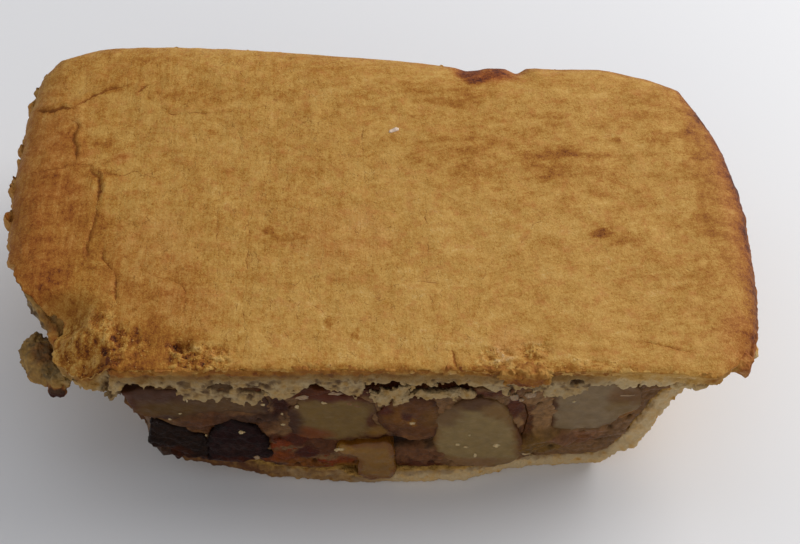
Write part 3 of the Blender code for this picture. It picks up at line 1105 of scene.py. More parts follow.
@dataclass
class LidForm:
    """The lid's plan and the height of its smooth top, in plan millimetres."""

    length: float = 129.0
    rim: float = 30.5
    top: float = 36.4
    dome: float = 1.6
    edge_width: float = 13.0
    rounding: float = 2.2
    droop: float = 1.5
    corner_drop: float = 4.2
    torn_from: float = 54.0
    torn_to: float = 62.5
    torn_back: float = 5.5
    left_side: tuple = (
        (-54.4, 14.2), (-57.0, 16.2), (-59.3, 18.6), (-61.0, 22.6), (-62.6, 27.4), (-63.8, 33),
        (-64.3, 38.6), (-64.7, 45.4), (-64.4, 50), (-64.6, 58), (-64.0, 62.5), (-63.4, 68.5),
        (-60.6, 73.4),
    )
    back_side: tuple = (
        (-60.6, 73.4), (-56.0, 75.4), (-50.5, 76.9), (-36.5, 77.2), (-20.9, 76.2), (-5.3, 74.6),
        (5, 73.5), (9, 72.9), (12, 72.4), (15, 71.8), (17, 70.9), (17.9, 70.6), (19.2, 71.4), (21, 71.7),
        (23.4, 71.6), (25, 71.3), (26.1, 70.3), (27.2, 71.1), (28.6, 71.7), (33, 71.4), (42.5, 71.2),
        (47.2, 69.8), (52, 68.2), (56.9, 65.6),
    )
    right_side: tuple = (
        (61.9, 5.8), (63.3, 10.4), (64.4, 17.1), (64.9, 30), (64.6, 40.2), (62.1, 53.3), (56.9, 65.6),
    )
    skin_break: tuple = (
        (-40.8, 0.8), (-42.8, 1.5), (-44.8, 2.1), (-47.1, 2.3), (-49.1, 2.9), (-50.9, 4.1), (-52.2, 5.7),
        (-52.9, 8.0), (-52.8, 9.8), (-51.6, 10.9), (-51.5, 12.2), (-52.6, 13.6), (-54.4, 14.2),
    )
    crumb_break: tuple = (
        (-42.6, -3.0), (-42.9, 2.6), (-45.4, 2.8), (-47.6, 2.7), (-50.2, 4.0), (-52.0, 5.8),
        (-52.8, 8.0), (-54.0, 11.2), (-56.1, 14.4), (-58.6, 18.0), (-59.8, 22.6), (-61.2, 28.0),
        (-62.2, 36.0), (-62.6, 46.0),
    )

    def front(self, x: Array) -> Array:
        """Where the cut runs: torn back towards its right end."""
        return 0.4 + self.torn_back * eased(x, self.torn_from, self.torn_to)

    def behind(self, points: Array) -> Array:
        """How far behind the cut points lie."""
        return points[:, 1] - self.front(points[:, 0])

    def whole_edge(self) -> Array:
        """The finished edge, as if no corner were broken off."""
        left = [(-63.4, -4.0), (-63.8, 16.0), *self.left_side[5:]]
        right = [*self.right_side[::-1], (62.2, -4.0)]
        return np.vstack([even_path(left, 2.0), even_path(self.back_side, 2.0), even_path(right, 2.0)])

    def inset(self, plan: Array) -> Array:
        """How far inside the finished edge points of the plan lie."""
        return np.abs(beside(plan, self.whole_edge())[0])

    def sunk(self, plan: Array) -> Array:
        """How far the broken corner sags below the rest."""
        x, y = plan.T
        inside = np.abs(beside(plan, even_path(self.skin_break, 1.0))[0])
        here = faded(x, -47, -41.5) * faded(y, 12, 18)
        return self.corner_drop * here * faded(inside, -1.0, 7.0)

    def height(self, plan: Array, inset: Array) -> Array:
        """Height of the smooth top."""
        x, y = plan.T
        short = np.clip(1 - inset / self.edge_width, 0, 1)
        raised = np.sqrt(1 - short**self.rounding)
        fall = self.dome * (2 * x / self.length) ** 2 * eased(inset, 0, self.edge_width)
        droop = eased(x, 47, 58) * faded(y - self.front(x), -0.5, 5.5)
        return self.rim + (self.top - self.rim) * raised - fall - self.droop * droop - self.sunk(plan)

    def depth(self, points: Array) -> Array:
        """How far below the smooth top points lie."""
        plan = points[:, :2]
        return self.height(plan, self.inset(plan)) - points[:, 2]


@dataclass(frozen=True)
class Crack:
    """A crack in the lid's skin, along a line of the plan. Sizes are in millimetres."""

    path: tuple
    width: float
    depth: float
    lift: float = 0.0


CRACKS = tuple(Crack(*row) for row in (
    (
        ((-62.6, 58.9), (-60.3, 57.8), (-59, 57.5),
         (-57.5, 58.4), (-56.4, 58.2), (-55.3, 58)),
        0.42, 0.9, 0.45,
    ),
    (((-55.3, 58), (-54.3, 59), (-52.3, 60.7), (-49.2, 62.4), (-47.5, 63), (-45.9, 63.6)), 0.28, 0.7, 0.3),
    (((-44.4, 61.7), (-43.2, 62.6), (-42.2, 63.5)), 0.24, 0.5, 0.2),
    (((-42.2, 63.5), (-41.8, 61), (-40.6, 58.6)), 0.07, 0.2),
    (
        ((-55.4, 55.3), (-54.2, 54.3), (-54.2, 53.1),
         (-54.6, 51.6), (-53.6, 48.5), (-53.1, 44.7)),
        0.3, 0.7, 0.2,
    ),
    (((-60.5, 42.8), (-56.5, 43.6), (-53.6, 44.3), (-51.6, 44.1), (-49.9, 44.5)), 0.2, 0.3),
    (((-50.3, 43.3), (-49.8, 42.2), (-48.4, 41), (-48.2, 38), (-48.3, 35.3)), 0.42, 1.0, 0.2),
    (((-48.3, 35.3), (-48.2, 31.5), (-48.9, 27.6), (-48.7, 24.1), (-49, 21.4)), 0.24, 0.7),
    (((-49.1, 21.6), (-47.9, 21.4), (-46.7, 21.9)), 0.14, 0.4),
    (((-45.8, 26.1), (-45.9, 24), (-44.8, 22), (-43.4, 20.4)), 0.2, 0.6),
    (((-43.4, 20.4), (-43, 18.1), (-42.9, 16), (-42.4, 14.2)), 0.3, 0.8),
    (((-43.9, 14.4), (-43.1, 13.4), (-43.5, 12)), 0.1, 0.3),
    (
        ((-50.3, 43.3), (-46.7, 42.3), (-44.5, 41.7), (-42.5, 42.5),
         (-41, 41.8), (-38.6, 41.2), (-38.2, 39.7)),
        0.13, 0.35,
    ),
    (
        ((-39, 58.2), (-38, 57.0), (-36.8, 56), (-33.6, 56.3),
         (-29.4, 56), (-26.6, 56.4), (-24.8, 57.6)),
        0.15, 0.4, 0.12,
    ),
    (((-25, 57.5), (-24.3, 49.7), (-23.1, 40.3), (-22, 33.5)), 0.06, 0.18),
    (((-22, 33.5), (-21.3, 27), (-21.4, 20.6), (-21.5, 14.4)), 0.11, 0.25),
    (((-21.5, 14.4), (-20.8, 8.4), (-20.7, 1.6)), 0.08, 0.2),
    (((-40.1, 65.9), (-39.2, 58.3), (-38.7, 50.9)), 0.07, 0.2),
    (((-27.2, 40.3), (-27, 31.3), (-26.1, 22.7), (-26.1, 16.4), (-25.3, 10.4)), 0.08, 0.2),
    (((-35.5, 18.8), (-32.5, 18.1), (-31.3, 16.8), (-31, 14.5), (-30.8, 10.3)), 0.12, 0.28),
    (((-2, 55.8), (-2.4, 49.7), (-2, 43.8), (-1.7, 38)), 0.1, 0.25),
    (((8.7, 35.8), (8.9, 30.7), (8.9, 25.2), (9.6, 22.5)), 0.11, 0.25),
    (((4.5, 18.1), (7, 17.9), (10.5, 17.7), (14, 17.4)), 0.09, 0.25),
    (((14, 17.4), (16.6, 17.6), (18.4, 19.2), (18.9, 21.2), (20.6, 23)), 0.08, 0.22),
    (((20.6, 23), (22.4, 24.8), (25, 26.5), (27.2, 29.8), (30.3, 32)), 0.1, 0.25),
    (((12.9, 10), (12.9, 4.6)), 0.07, 0.2),
    (((12.9, 4.6), (13.0, 2.6), (13.3, 1.4), (13.8, 0.0)), 0.22, 0.6),
    (((42, 6.6), (45, 6), (48.3, 5), (51.3, 4.6)), 0.12, 0.3),
    (((51.9, 21.4), (54.2, 20.5)), 0.1, 0.25),
    (((-10.5, 19.2), (-10.5, 16.4), (-10.4, 13.8)), 0.08, 0.2),
    (((-10.4, 13.8), (-9.6, 13), (-7.4, 11), (-6.4, 10)), 0.1, 0.25),
    (((-39, 35.8), (-38.8, 32.6), (-39.3, 30.4)), 0.1, 0.25),
    (((-35.3, 24.8), (-35.4, 20.6)), 0.08, 0.2),
    (((39.5, 20.5), (39.0, 26.2), (36.0, 29.3)), 0.06, 0.15),
))


def ring(upper: Array, lower: Array) -> list:
    """Quads between two closed rows of points, given by number."""
    return np.stack([upper, lower, np.roll(lower, -1), np.roll(upper, -1)], axis=1).tolist()


@dataclass
class LidSkin:
    """The lid's browned skin, from its cut and broken edges round to its rim.

    Sizes are in plan millimetres. patches are where the skin is broken up, browned and spots change its
    browning and reddish makes it rosy. far_side is what the crack layer holds away from every crack.
    """

    form: LidForm
    thickness: float = 1.5
    side_rows: int = 9
    crack_reach: float = 2.4
    far_side: float = 3.0
    patches: tuple = plan_spots(
        (-48.0, 7.0, 7.5, 6.5, 1.0), (-41.0, 5.5, 5.0, 4.0, 0.7), (-27.6, 2.6, 5.6, 2.9, 0.9),
        (-30.9, 5.0, 2.4, 1.9, 1.0), (19.5, 2.2, 3.6, 2.9, 1.0), (26.2, 4.4, 2.8, 2.2, 0.8),
        (-9.0, 0.9, 3.0, 1.0, 0.5), (34.0, 1.4, 7.0, 1.4, 0.5),
    )
    browned: tuple = plan_spots(
        (-60, 36, 13, 26, 0.13), (-54, 28, 12, 14, 0.07), (-42, 12, 16, 14, 0.09), (-38, 4, 14, 6, 0.12),
        (-52, 70, 16, 8, 0.08), (-33, 60, 6, 3.4, 0.07), (16.0, 70.4, 3.4, 2.8, 0.14),
        (20.6, 69.4, 5.6, 4.4, 0.28), (21.5, 66.2, 3.6, 2.8, 0.12), (-49.0, 6.0, 6.0, 6.0, -0.04),
        (14, 61, 9, 4, 0.08), (-10, 70, 16, 5, 0.05), (22, 45, 15, 6.5, 0.07), (35, 43, 10, 5.5, 0.05),
        (52, 58, 10, 9, 0.08), (61, 42, 6, 22, 0.16), (59, 16, 7, 10, 0.08), (-5, 26, 12, 8, 0.03),
        (-14, 33, 9, 9, 0.04), (8, 30, 26, 14, -0.05), (-4, 8, 26, 10, -0.06), (33, 12, 14, 10, -0.03),
        (44, 54, 12, 8, -0.03),
    )
    spots: tuple = plan_spots(
        (-29.2, 51.6, 1.2, 0.7, 0.16), (-18.2, 28.9, 1.0, 0.9, 0.22), (-14.5, 27.3, 3.4, 0.8, 0.14),
        (-7.1, 9.6, 0.8, 1.5, 0.2), (-2.8, 7.4, 0.7, 1.4, 0.16), (38.8, 28.6, 2.4, 0.9, 0.2),
        (42.5, 26.6, 2.6, 1.0, 0.12), (-45.3, 45.9, 1.4, 1.0, 0.12), (-49.0, 49.5, 2.0, 1.6, 0.08),
        (-22, 5, 2.5, 2.5, 0.08), (26.5, 46.4, 2.4, 0.8, 0.12), (34.4, 46.6, 4.6, 0.8, 0.15),
        (31.6, 53.6, 1.8, 0.9, 0.14), (43.0, 49.8, 1.0, 0.8, 0.2), (49.4, 49.4, 0.8, 1.3, 0.14),
        (51.4, 29.6, 1.2, 2.2, 0.12), (43.0, 28.2, 1.6, 0.8, 0.12), (-10.5, 55.8, 4.0, 2.4, 0.06),
    )
    reddish: tuple = plan_spots(
        (-62, 34, 12, 30, 0.5), (-45.3, 45.9, 1.8, 1.3, 0.5), (-38, 22, 8, 12, 0.25),
        (-5, 27, 9, 7, 0.25), (20.5, 69, 6.5, 5, 0.8), (63, 45, 3, 26, 0.4), (61, 7, 5, 6, 0.5),
        (21.5, 5.5, 3.0, 3.6, 0.35), (-30, 13, 6, 5, 0.25),
    )

    def build(self, material: Material) -> Object:
        """Make the skin.

        Args:
            material: what it is dressed in.

        Returns:
            The finished piece.
        """
        plan = self.plan_grid()
        rows, columns = plan.shape[:2]
        flat = plan.reshape(-1, 2)
        inset = self.form.inset(flat)
        points, layers = self.raised(flat, inset)
        number = np.arange(rows * columns).reshape(rows, columns)
        quads = np.stack([number[:-1, :-1], number[:-1, 1:], number[1:, 1:], number[1:, :-1]], axis=-1)
        loop = np.concatenate([number[0, :-1], number[:-1, -1], number[-1, :0:-1], number[:0:-1, 0]])
        points, faces, layers = self.wrapped_down(points, quads.reshape(-1, 4), loop, layers)
        return dressed_piece("lid_skin", points, faces, layers, material)

    def plan_grid(self) -> Array:
        """Places in the plan of a grid between the skin's four sides, finer at the left and at the cut."""
        columns = np.interp(np.linspace(0, 1, 345), (0, 0.46, 1), (0, 0.37, 1))
        rows = np.interp(np.linspace(0, 1, 200), (0, 0.17, 1), (0, 0.1, 1))
        x = self.form.skin_break[0][0] + (self.form.right_side[0][0] - self.form.skin_break[0][0]) * columns
        cut = np.stack([x, self.form.front(x)], axis=1)
        left = even_path([*self.form.skin_break, *self.form.left_side[1:]], 0.3)
        right = even_path(self.form.right_side, 0.3)
        back = even_path(self.form.back_side, 0.3)
        sides = []
        for side, places, amount in ((left, rows, 0.6), (right, rows, 0.12), (back, columns, 0.34)):
            line = self.ragged(side, amount)
            along = run_along(line) / run_along(line)[-1]
            sides.append(np.stack([np.interp(places, along, line[:, axis]) for axis in (0, 1)], axis=1))
        left, right, back = sides
        u = columns[None, :, None]
        v = rows[:, None, None]
        across = (1 - u) * left[:, None] + u * right[:, None]
        through = (1 - v) * cut[None] + v * back[None]
        corners = (1 - u) * (1 - v) * cut[0] + u * (1 - v) * cut[-1]
        corners = corners + (1 - u) * v * back[0] + u * v * back[-1]
        grid = across + through - corners
        least = 0.05 * np.arange(len(rows))[:, None]
        grid[:, 1:, 1] = np.maximum.accumulate(grid[:, 1:, 1] - least, axis=0) + least
        return grid

    def ragged(self, line: Array, amount: float) -> Array:
        """A side of the skin with its line broken up by some millimetres."""
        run = np.gradient(line, axis=0)
        outward = np.stack([run[:, 1], -run[:, 0]], axis=1) / np.linalg.norm(run, axis=1, keepdims=True)
        rough = Uneven(17)
        flat = with_zero(line)
        jagged = rough.layered(flat, 3.4, 3) + 0.8 * rough.waves(flat + 40, 1.1)
        ends = np.clip(4 * np.sin(np.linspace(0, math.pi, len(line))), 0, 1)
        return line + outward * (amount * jagged * ends)[:, None]

    def raised(self, plan: Array, inset: Array) -> tuple[Array, dict]:
        """Heights and layers of the skin's top.

        Args:
            plan: places in the plan.
            inset: how far inside the finished edge they lie.

        Returns:
            Points, and a dictionary of layers.
        """
        flat = with_zero(plan)
        broad, fine, crumb = Uneven(11), Uneven(12), Uneven(13)
        height = self.form.height(plan, inset)
        cut_away = self.form.behind(flat)
        height = height - 0.5 * faded(cut_away + 0.4 * fine.waves(flat, 1.6), -0.3, 1.6) ** 2
        height += 0.22 * broad.layered(flat, 13, 3) * eased(inset, 0, 8)
        height += 0.09 * fine.layered(flat, 3.2, 3)
        lengthwise = self.lengthwise(plan)
        height += 0.02 * lengthwise * fine.layered(flat, (0.9, 9, 5), 2)
        height += 0.025 * (1 - lengthwise) * fine.layered(flat, (7, 1.1, 5), 2)
        ragged = total_of(self.patches, flat)
        ragged = np.clip(ragged + 0.35 * fine.waves(flat, 2.1) * (ragged > 0.02), 0, 1)
        edge = np.clip(1 - inset / 1.6, 0, 1) * (plan[:, 0] < -20)
        ragged = np.maximum(ragged, 0.6 * edge)
        nearest, _, value = crumb.grains(flat, 0.75)
        lumpy = crumb.layered(flat, 1.7, 4)
        height += ragged * (0.34 * lumpy + 0.34 * (0.5 - nearest) * (0.5 + value) - 0.2)
        layers = {"lengthwise": lengthwise, "redness": self.redness(flat), "ragged": ragged}
        browning = self.browning(flat, inset, cut_away)
        browning += ragged * (0.2 * eased(-lumpy, -0.1, 0.5) - 0.18 * eased(lumpy, 0.05, 0.55))
        browning += ragged * (0.12 * eased(nearest, 0.5, 0.8) - 0.1 * eased(value, 0.6, 0.8))
        hole = Spot((-30.9, 5.0), (1.7, 1.0), 1.0).share(flat)
        height -= 0.9 * hole
        browning += 0.1 * hole
        height, layers["crack_side"], layers["crack_width"], browning = self.cracked(flat, height, browning)
        layers["browning"] = browning
        return np.hstack([plan, height[:, None]]), layers

    def lengthwise(self, plan: Array) -> Array:
        """1 where the skin's fine lines run back from the cut and 0 where they run along it."""
        return faded(plan[:, 0] + 0.5 * (plan[:, 1] - 30), -8, 22)

    def redness(self, flat: Array) -> Array:
        """How rosy the browning is."""
        total = total_of(self.reddish, flat)
        return np.clip(total + 0.25 * Uneven(21).layered(flat, 4.0, 3) * (0.3 + total), 0, 1)

    def browning(self, flat: Array, inset: Array, cut_away: Array) -> Array:
        """How far the skin has browned.

        Args:
            flat: places in the plan.
            inset: how far inside the finished edge they lie.
            cut_away: how far behind the cut they lie.

        Returns:
            0 where it is raw and 1 where it is nearly burnt.
        """
        x, y, _ = flat.T
        broad, middle, small = Uneven(31), Uneven(32), Uneven(33)
        tone = np.full(len(flat), 0.47)
        wander = flat + 2.2 * with_zero(np.stack([broad.layered(flat + far, 7, 3) for far in (0, 50)], 1))
        tone += total_of(self.browned, wander)
        nudge = flat + 0.5 * with_zero(np.stack([small.layered(flat + far, 1.5, 2) for far in (0, 50)], 1))
        tone += total_of(self.spots, nudge)
        lengthwise = self.lengthwise(flat)
        tone += 0.06 * middle.layered(flat, 6.5, 4)
        mottled = Spot((24, 47), (26, 15), 1.0).share(flat)
        blotch = middle.layered(flat + 70, (4.4, 2.4, 5), 5)
        tone += (0.04 + 0.05 * mottled) * eased(blotch, 0.05, 0.5) - 0.05 * eased(-blotch, 0.1, 0.5)
        tone += 0.05 * (1 - lengthwise) * middle.layered(flat, (9, 1.7, 5), 3)
        tone += 0.035 * lengthwise * middle.layered(flat, (1.3, 11, 5), 3)
        tone += 0.035 * small.layered(flat, 0.9, 2)
        freckle, _, value = small.grains(flat, 2.4)
        tone += 0.12 * eased(value, 0.78, 0.95) * faded(freckle, 0.1, 0.28)
        right_edge = (x > 20) * np.clip(1 - inset / 4.0, 0, 1)
        tone += (0.27 + 0.1 * eased(y, 8, 18)) * right_edge**1.6
        left_edge = (x <= 20) * np.clip(1 - inset / 1.5, 0, 1)
        tone -= 0.12 * left_edge
        uneven_line = np.clip(cut_away + 0.3 * middle.waves(flat, 2.2), 0, None)
        front_line = np.exp(-((uneven_line / 1.5) ** 2))
        tone += front_line * (0.13 + 0.08 * middle.waves(flat, 3.0)) * (1 - 0.5 * eased(x, 36, 46))
        return tone

    def cracked(self, flat: Array, height: Array, browning: Array) -> tuple:
        """Sink the cracks into the top.

        Args:
            flat: places in the plan.
            height: height of the top there.
            browning: how far it has browned.

        Returns:
            The new height, the signed distance to the nearest crack, its half width and the new browning.
        """
        wander, rough = Uneven(41), Uneven(42)
        plan = flat[:, :2]
        side = np.full(len(flat), self.far_side)
        width = np.zeros(len(flat))
        deepest = np.full(len(flat), -9.0)
        for crack in CRACKS:
            line = even_path(crack.path, 0.4)
            shift = with_zero(line)
            ends = np.sin(np.linspace(0, math.pi, len(line)))
            moved = [wander.layered(shift + far, 2.2, 4) for far in (0, 9)]
            line = line + 0.42 * np.stack(moved, 1) * ends[:, None] ** 0.3
            low, high = line.min(0) - self.crack_reach, line.max(0) + self.crack_reach
            near = np.flatnonzero((plan > low).all(1) & (plan < high).all(1))
            signed, along = beside(plan[near], line)
            taper = np.minimum(1, 3.2 * np.minimum(along, 1 - along) + 0.25)
            uneven = rough.layered(flat[near], 1.1, 3)
            open_share = eased(rough.layered(flat[near] + 30, 2.6, 2) + 3 * crack.width, -0.1, 0.45)
            half = np.maximum(0.66 * crack.width * taper * (1 + 0.9 * uneven) * (0.3 + open_share), 0.005)
            away = np.abs(signed)
            groove = np.clip(1 - away / (1.25 * half + 0.15), 0, 1)
            height[near] -= 0.42 * crack.depth * taper * open_share * groove**0.8
            height[near] += crack.lift * taper * np.exp(-((signed - 0.9) / 0.8) ** 2)
            browning[near] += 0.07 * np.exp(-((away / (half + 0.3)) ** 2)) * (crack.width > 0.1)
            better = half - away > deepest[near]
            chosen = near[better]
            side[chosen] = signed[better]
            width[chosen] = half[better]
            deepest[chosen] = (half - away)[better]
        width = np.where(deepest > -0.6, width, 0.0)
        side = np.where(deepest > -1.2, side, self.far_side)
        return height, side, width, browning

    def wrapped_down(self, points: Array, quads: Array, loop: Array, layers: dict) -> tuple:
        """Carry the top's edge down its sides, tuck it in and close it below.

        Args:
            points: points of the top.
            quads: its faces.
            loop: its edge, anticlockwise.
            layers: its layers.

        Returns:
            All points, all faces and the longer layers.
        """
        edge = points[loop]
        x = edge[:, 0]
        run = np.roll(edge, -1, axis=0) - np.roll(edge, 1, axis=0)
        outward = np.stack([run[:, 1], -run[:, 0]], axis=1)
        outward /= np.maximum(np.linalg.norm(outward, axis=1, keepdims=True), 1e-6)
        outward = (np.roll(outward, 1, 0) + outward + np.roll(outward, -1, 0)) / 3
        finished = faded(np.abs(beside(edge[:, :2], self.form.whole_edge())[0]), 0.8, 3.5)
        thin = self.thickness - 0.7 * eased(-x, 36, 42) - 0.5 * eased(x, 48, 56)
        lower = thin + finished * (3.4 - thin)
        rough = Uneven(51)
        lower = lower + (1 - finished) * 0.4 * rough.layered(edge, 2.4, 3)
        all_points = [points]
        faces = [list(quad) for quad in quads]
        longer = {label: [values] for label, values in layers.items()}
        before = loop
        total = len(points)
        for row in range(1, self.side_rows + 1):
            share = row / self.side_rows
            place = edge.copy()
            place[:, 2] -= lower * share
            bulge = finished * 0.5 * math.sin(math.pi * share) - (1 - finished) * 0.35 * share
            grain = rough.layered(place * (1, 1, 1.6), 1.3, 2)
            crumbly = np.where(x < 20, 0.42, 0.14)
            place[:, :2] += outward * (bulge + crumbly * grain)[:, None]
            now = total + np.arange(len(loop))
            faces += ring(before, now)
            all_points.append(place)
            cut_tone = np.interp(share + 0.3 * grain, (0, 0.4, 0.75, 1), (0.48, 0.42, 0.3, 0.22))
            cut_tone += 0.07 * rough.waves(place, 1.8) - 0.12 * eased(x, 34, 46)
            side_tone = np.where(x < 20, 0.42 - 0.1 * share, 0.8 - 0.25 * share) + 0.08 * grain
            longer["browning"].append((1 - finished) * cut_tone + finished * side_tone)
            for label in ("lengthwise", "redness", "ragged"):
                longer[label].append(layers[label][loop])
            longer["crack_side"].append(np.full(len(loop), self.far_side))
            longer["crack_width"].append(np.zeros(len(loop)))
            before = now
            total += len(loop)
        tucked = all_points[-1].copy()
        tucked[:, :2] -= 1.6 * outward
        all_points.append(tucked)
        now = total + np.arange(len(loop))
        faces += [*ring(before, now), now.tolist()]
        for label in longer:
            longer[label].append(longer[label][-1])
        return np.vstack(all_points), faces, {label: np.concatenate(parts) for label, parts in longer.items()}


@dataclass(frozen=True)
class Window:
    """A box that a field is worked out in, with the distance between its points, in millimetres."""

    low: tuple
    high: tuple
    pitch: float


@dataclass
class LidCrumb:
    """The pale pastry under the skin, which shows at the cut and where the corner has broken off.

    hang is its lower edge at the cut, as places along x and z. Each flake and each hollow has a centre
    and half sizes. Sizes are in plan millimetres.
    """

    form: LidForm
    hang: tuple = (
        (-52, 27.2), (-47, 27.6), (-44.6, 28.0), (-42.6, 27.6), (-41.2, 29.4), (-40.2, 31.0),
        (-37.4, 31.0), (-34.4, 31.3), (-33.1, 30.1), (-31.8, 28.2), (-30.6, 27.2), (-26.2, 27.0),
        (-22.7, 26.7), (-19.7, 25.9), (-18.5, 27.0), (-17.4, 28.2), (-15.3, 28.3), (-13.3, 30.1),
        (-11.9, 29.8), (-9.8, 30.6), (-7.3, 29.9), (-4.4, 29.0), (-3.3, 28.2), (-1.7, 28.4),
        (-1.2, 31.6), (1.3, 32.1), (6.3, 31.8), (14, 31.5), (15.3, 31.9), (17.3, 31.2), (20.3, 30.0),
        (22.3, 28.6), (24.3, 30.8), (25.9, 28.8), (27.1, 29.7), (29.1, 27.8), (31, 28.2), (32.6, 28.6),
        (35.8, 30.6), (37.5, 31.4), (40.5, 31.2), (43.2, 31.9), (44.8, 31.9), (49, 31.0), (52, 30.8),
        (55, 31.0), (60, 31.6), (66, 32.0),
    )
    flakes: tuple = (
        ((3.1, 0.7, 28.5), (2.75, 0.75, 2.1)), ((1.4, 0.5, 27.6), (1.4, 0.6, 1.5)),
        ((4.9, 0.9, 30.0), (1.2, 0.7, 1.1)), ((9.0, 0.9, 28.7), (2.9, 0.7, 1.0)),
        ((13.4, 0.8, 28.9), (3.1, 0.7, 1.1)), ((-15.8, 0.8, 29.8), (2.2, 0.8, 1.2)),
        ((-13.9, 0.7, 29.0), (1.0, 0.6, 0.8)), ((-45.4, 2.8, 28.2), (3.4, 1.2, 0.9)),
        ((-42.6, 2.2, 27.8), (1.6, 1.0, 0.7)), ((53.0, 2.0, 29.6), (1.6, 1.1, 1.0)),
    )
    hollows: tuple = (
        ((-24.6, 0.2, 30.4), (1.9, 1.6, 1.6)), ((-20.0, 0.3, 29.8), (2.6, 1.6, 1.0)),
        ((32.8, 0.3, 32.3), (1.2, 1.5, 0.9)), ((-33.0, 0.2, 29.6), (1.0, 1.6, 1.4)),
        ((11.0, 0.6, 30.4), (2.3, 1.5, 0.8)), ((22.6, 0.2, 30.4), (0.4, 1.3, 1.3)),
        ((25.3, 0.2, 29.6), (0.5, 1.3, 1.0)), ((-43.4, 1.4, 28.6), (1.1, 1.0, 0.4)),
        ((-45.4, 1.6, 29.5), (1.4, 1.0, 0.4)), ((-49.6, 3.0, 28.8), (1.0, 1.2, 0.4)),
    )

    def build(self, name: str, window: Window, material: Material) -> Object:
        """Make the crumb inside one window.

        Args:
            name: the piece's name.
            window: where the field is worked out.
            material: what it is dressed in.

        Returns:
            The finished piece.
        """
        points, shape = field_grid(window.low, window.high, window.pitch)
        values = self.field(points)
        places, quads = skin_of_field(values.reshape(shape), window.low, window.pitch)
        browning, redness = self.browning(places)
        layers = {"browning": browning, "redness": redness, "gravy": self.gravy(places)}
        return dressed_piece(name, places, quads, layers, material)

    def field(self, points: Array) -> Array:
        """The crumb's field: below 0 inside it.

        Args:
            points: places in plan millimetres, one a row.

        Returns:
            One value for each point.
        """
        plan = points[:, :2]
        keys, where = np.unique(np.round(plan, 4), axis=0, return_inverse=True)
        where = where.reshape(-1)
        x, y = keys.T
        inset = self.form.inset(keys)
        top = self.form.height(keys, inset)
        crumb_line = even_path(self.form.crumb_break, 0.8)
        skin_line = even_path([*self.form.skin_break, *self.form.left_side[1:5]], 0.8)
        from_break = -beside(keys, crumb_line)[0]
        outside_skin = beside(keys, skin_line)[0]
        from_cut = self.form.behind(keys) - 0.15
        side_gap = np.where(x > 40, 1.4, 0.5)
        inward = np.minimum(np.minimum(from_break, from_cut), inset - side_gap)
        bare = eased(outside_skin, -0.2, 1.6) * (x < -38)
        rough, crumbs, flaky = Uneven(61), Uneven(62), Uneven(63)
        hang = np.interp(x, *np.array(self.hang).T)
        hang += 0.4 * flaky.layered(with_zero(keys) * (1, 0.4, 1), 1.7, 3)
        at_cut = faded(inward, 1.6, 3.4)
        inner = np.where(np.abs(x) < 42, 31.6, 27.4 + 2.5 * eased(inset, 9, 23))
        bottom = at_cut * hang + (1 - at_cut) * inner
        bottom = np.where(x < -47, 27.7 + eased(y, 6, 12), bottom)
        covered = (1 - bare) * eased(inward, 0.7, 1.9)
        column = {"top": top - 0.35 - 1.3 * bare - 1.5 * covered, "bottom": bottom, "inward": inward}
        top, bottom, inward = (column[key][where] for key in ("top", "bottom", "inward"))
        height = points[:, 2]
        near = np.minimum(np.minimum(inward, top - height), height - bottom + 4.0) > -2.5
        texture = np.zeros(len(points))
        some = points[near]
        nearest, _, _ = crumbs.grains(some * (1, 1, 1.25), 1.0)
        layered = flaky.layered(some, (4.5, 3.0, 1.1), 3)
        small, _, _ = flaky.grains(some, 0.62)
        texture[near] = 0.42 * rough.layered(some, 1.6, 4) + 0.3 * layered
        texture[near] += 0.5 * (nearest - 0.5) + 0.42 * (small - 0.5)
        values = np.maximum(np.maximum(-inward, height - top), bottom - height)
        values = np.maximum(values, inward - 5.2)
        for centre, radii in self.flakes:
            values = merged(values, blob(points, centre, radii), 0.5)
        ragged_below = 0.35 * faded(height - bottom, 0.2, 1.6)
        values = values + texture * (0.75 + ragged_below)
        for centre, radii in self.hollows:
            values = np.maximum(values, -blob(points, centre, radii) - 0.8 * texture)
        return values

    def browning(self, points: Array) -> tuple[Array, Array]:
        """How far the crumb has browned, with painted shade behind the cut, and how rosy that is.

        Args:
            points: places in plan millimetres, one a row.

        Returns:
            Browning and redness of each point.
        """
        x, y, _ = points.T
        depth = self.form.depth(points)
        patchy, crumbs = Uneven(71), Uneven(72)
        browned = 0.56 - 0.2 * eased(x, 34, 46)
        tone = 0.09 + browned * faded(depth + 0.9 * patchy.layered(points, 3, 3), 0.9, 4.2)
        tone += 0.1 * patchy.layered(points, 2.0, 4) - 0.14 * eased(x, 32, 40)
        # Behind the cut the crumb is painted much browner, as shade in its hollows and gaps.
        behind = self.form.behind(points)
        tone += 0.5 * eased(behind, 0.9, 2.2) * (x > -43)
        nearest, _, value = crumbs.grains(points, 1.1)
        corner = eased(-x, 36, 43) * faded(depth, 1.5, 4.5) * faded(y, 12, 16)
        tone -= 0.3 * eased(y, 12, 16) * eased(-x, 36, 43)
        tone += corner * 0.12 * eased(value, 0.5, 0.85) * faded(nearest, 0.35, 0.7)
        tone += 0.16 * eased(value, 0.78, 0.95) * faded(nearest, 0.35, 0.6)
        tone += 0.25 * eased(x, 50, 57) + 0.05 * eased(x, 38, 50)
        return np.clip(tone, 0.02, 0.9), 0.15 * corner

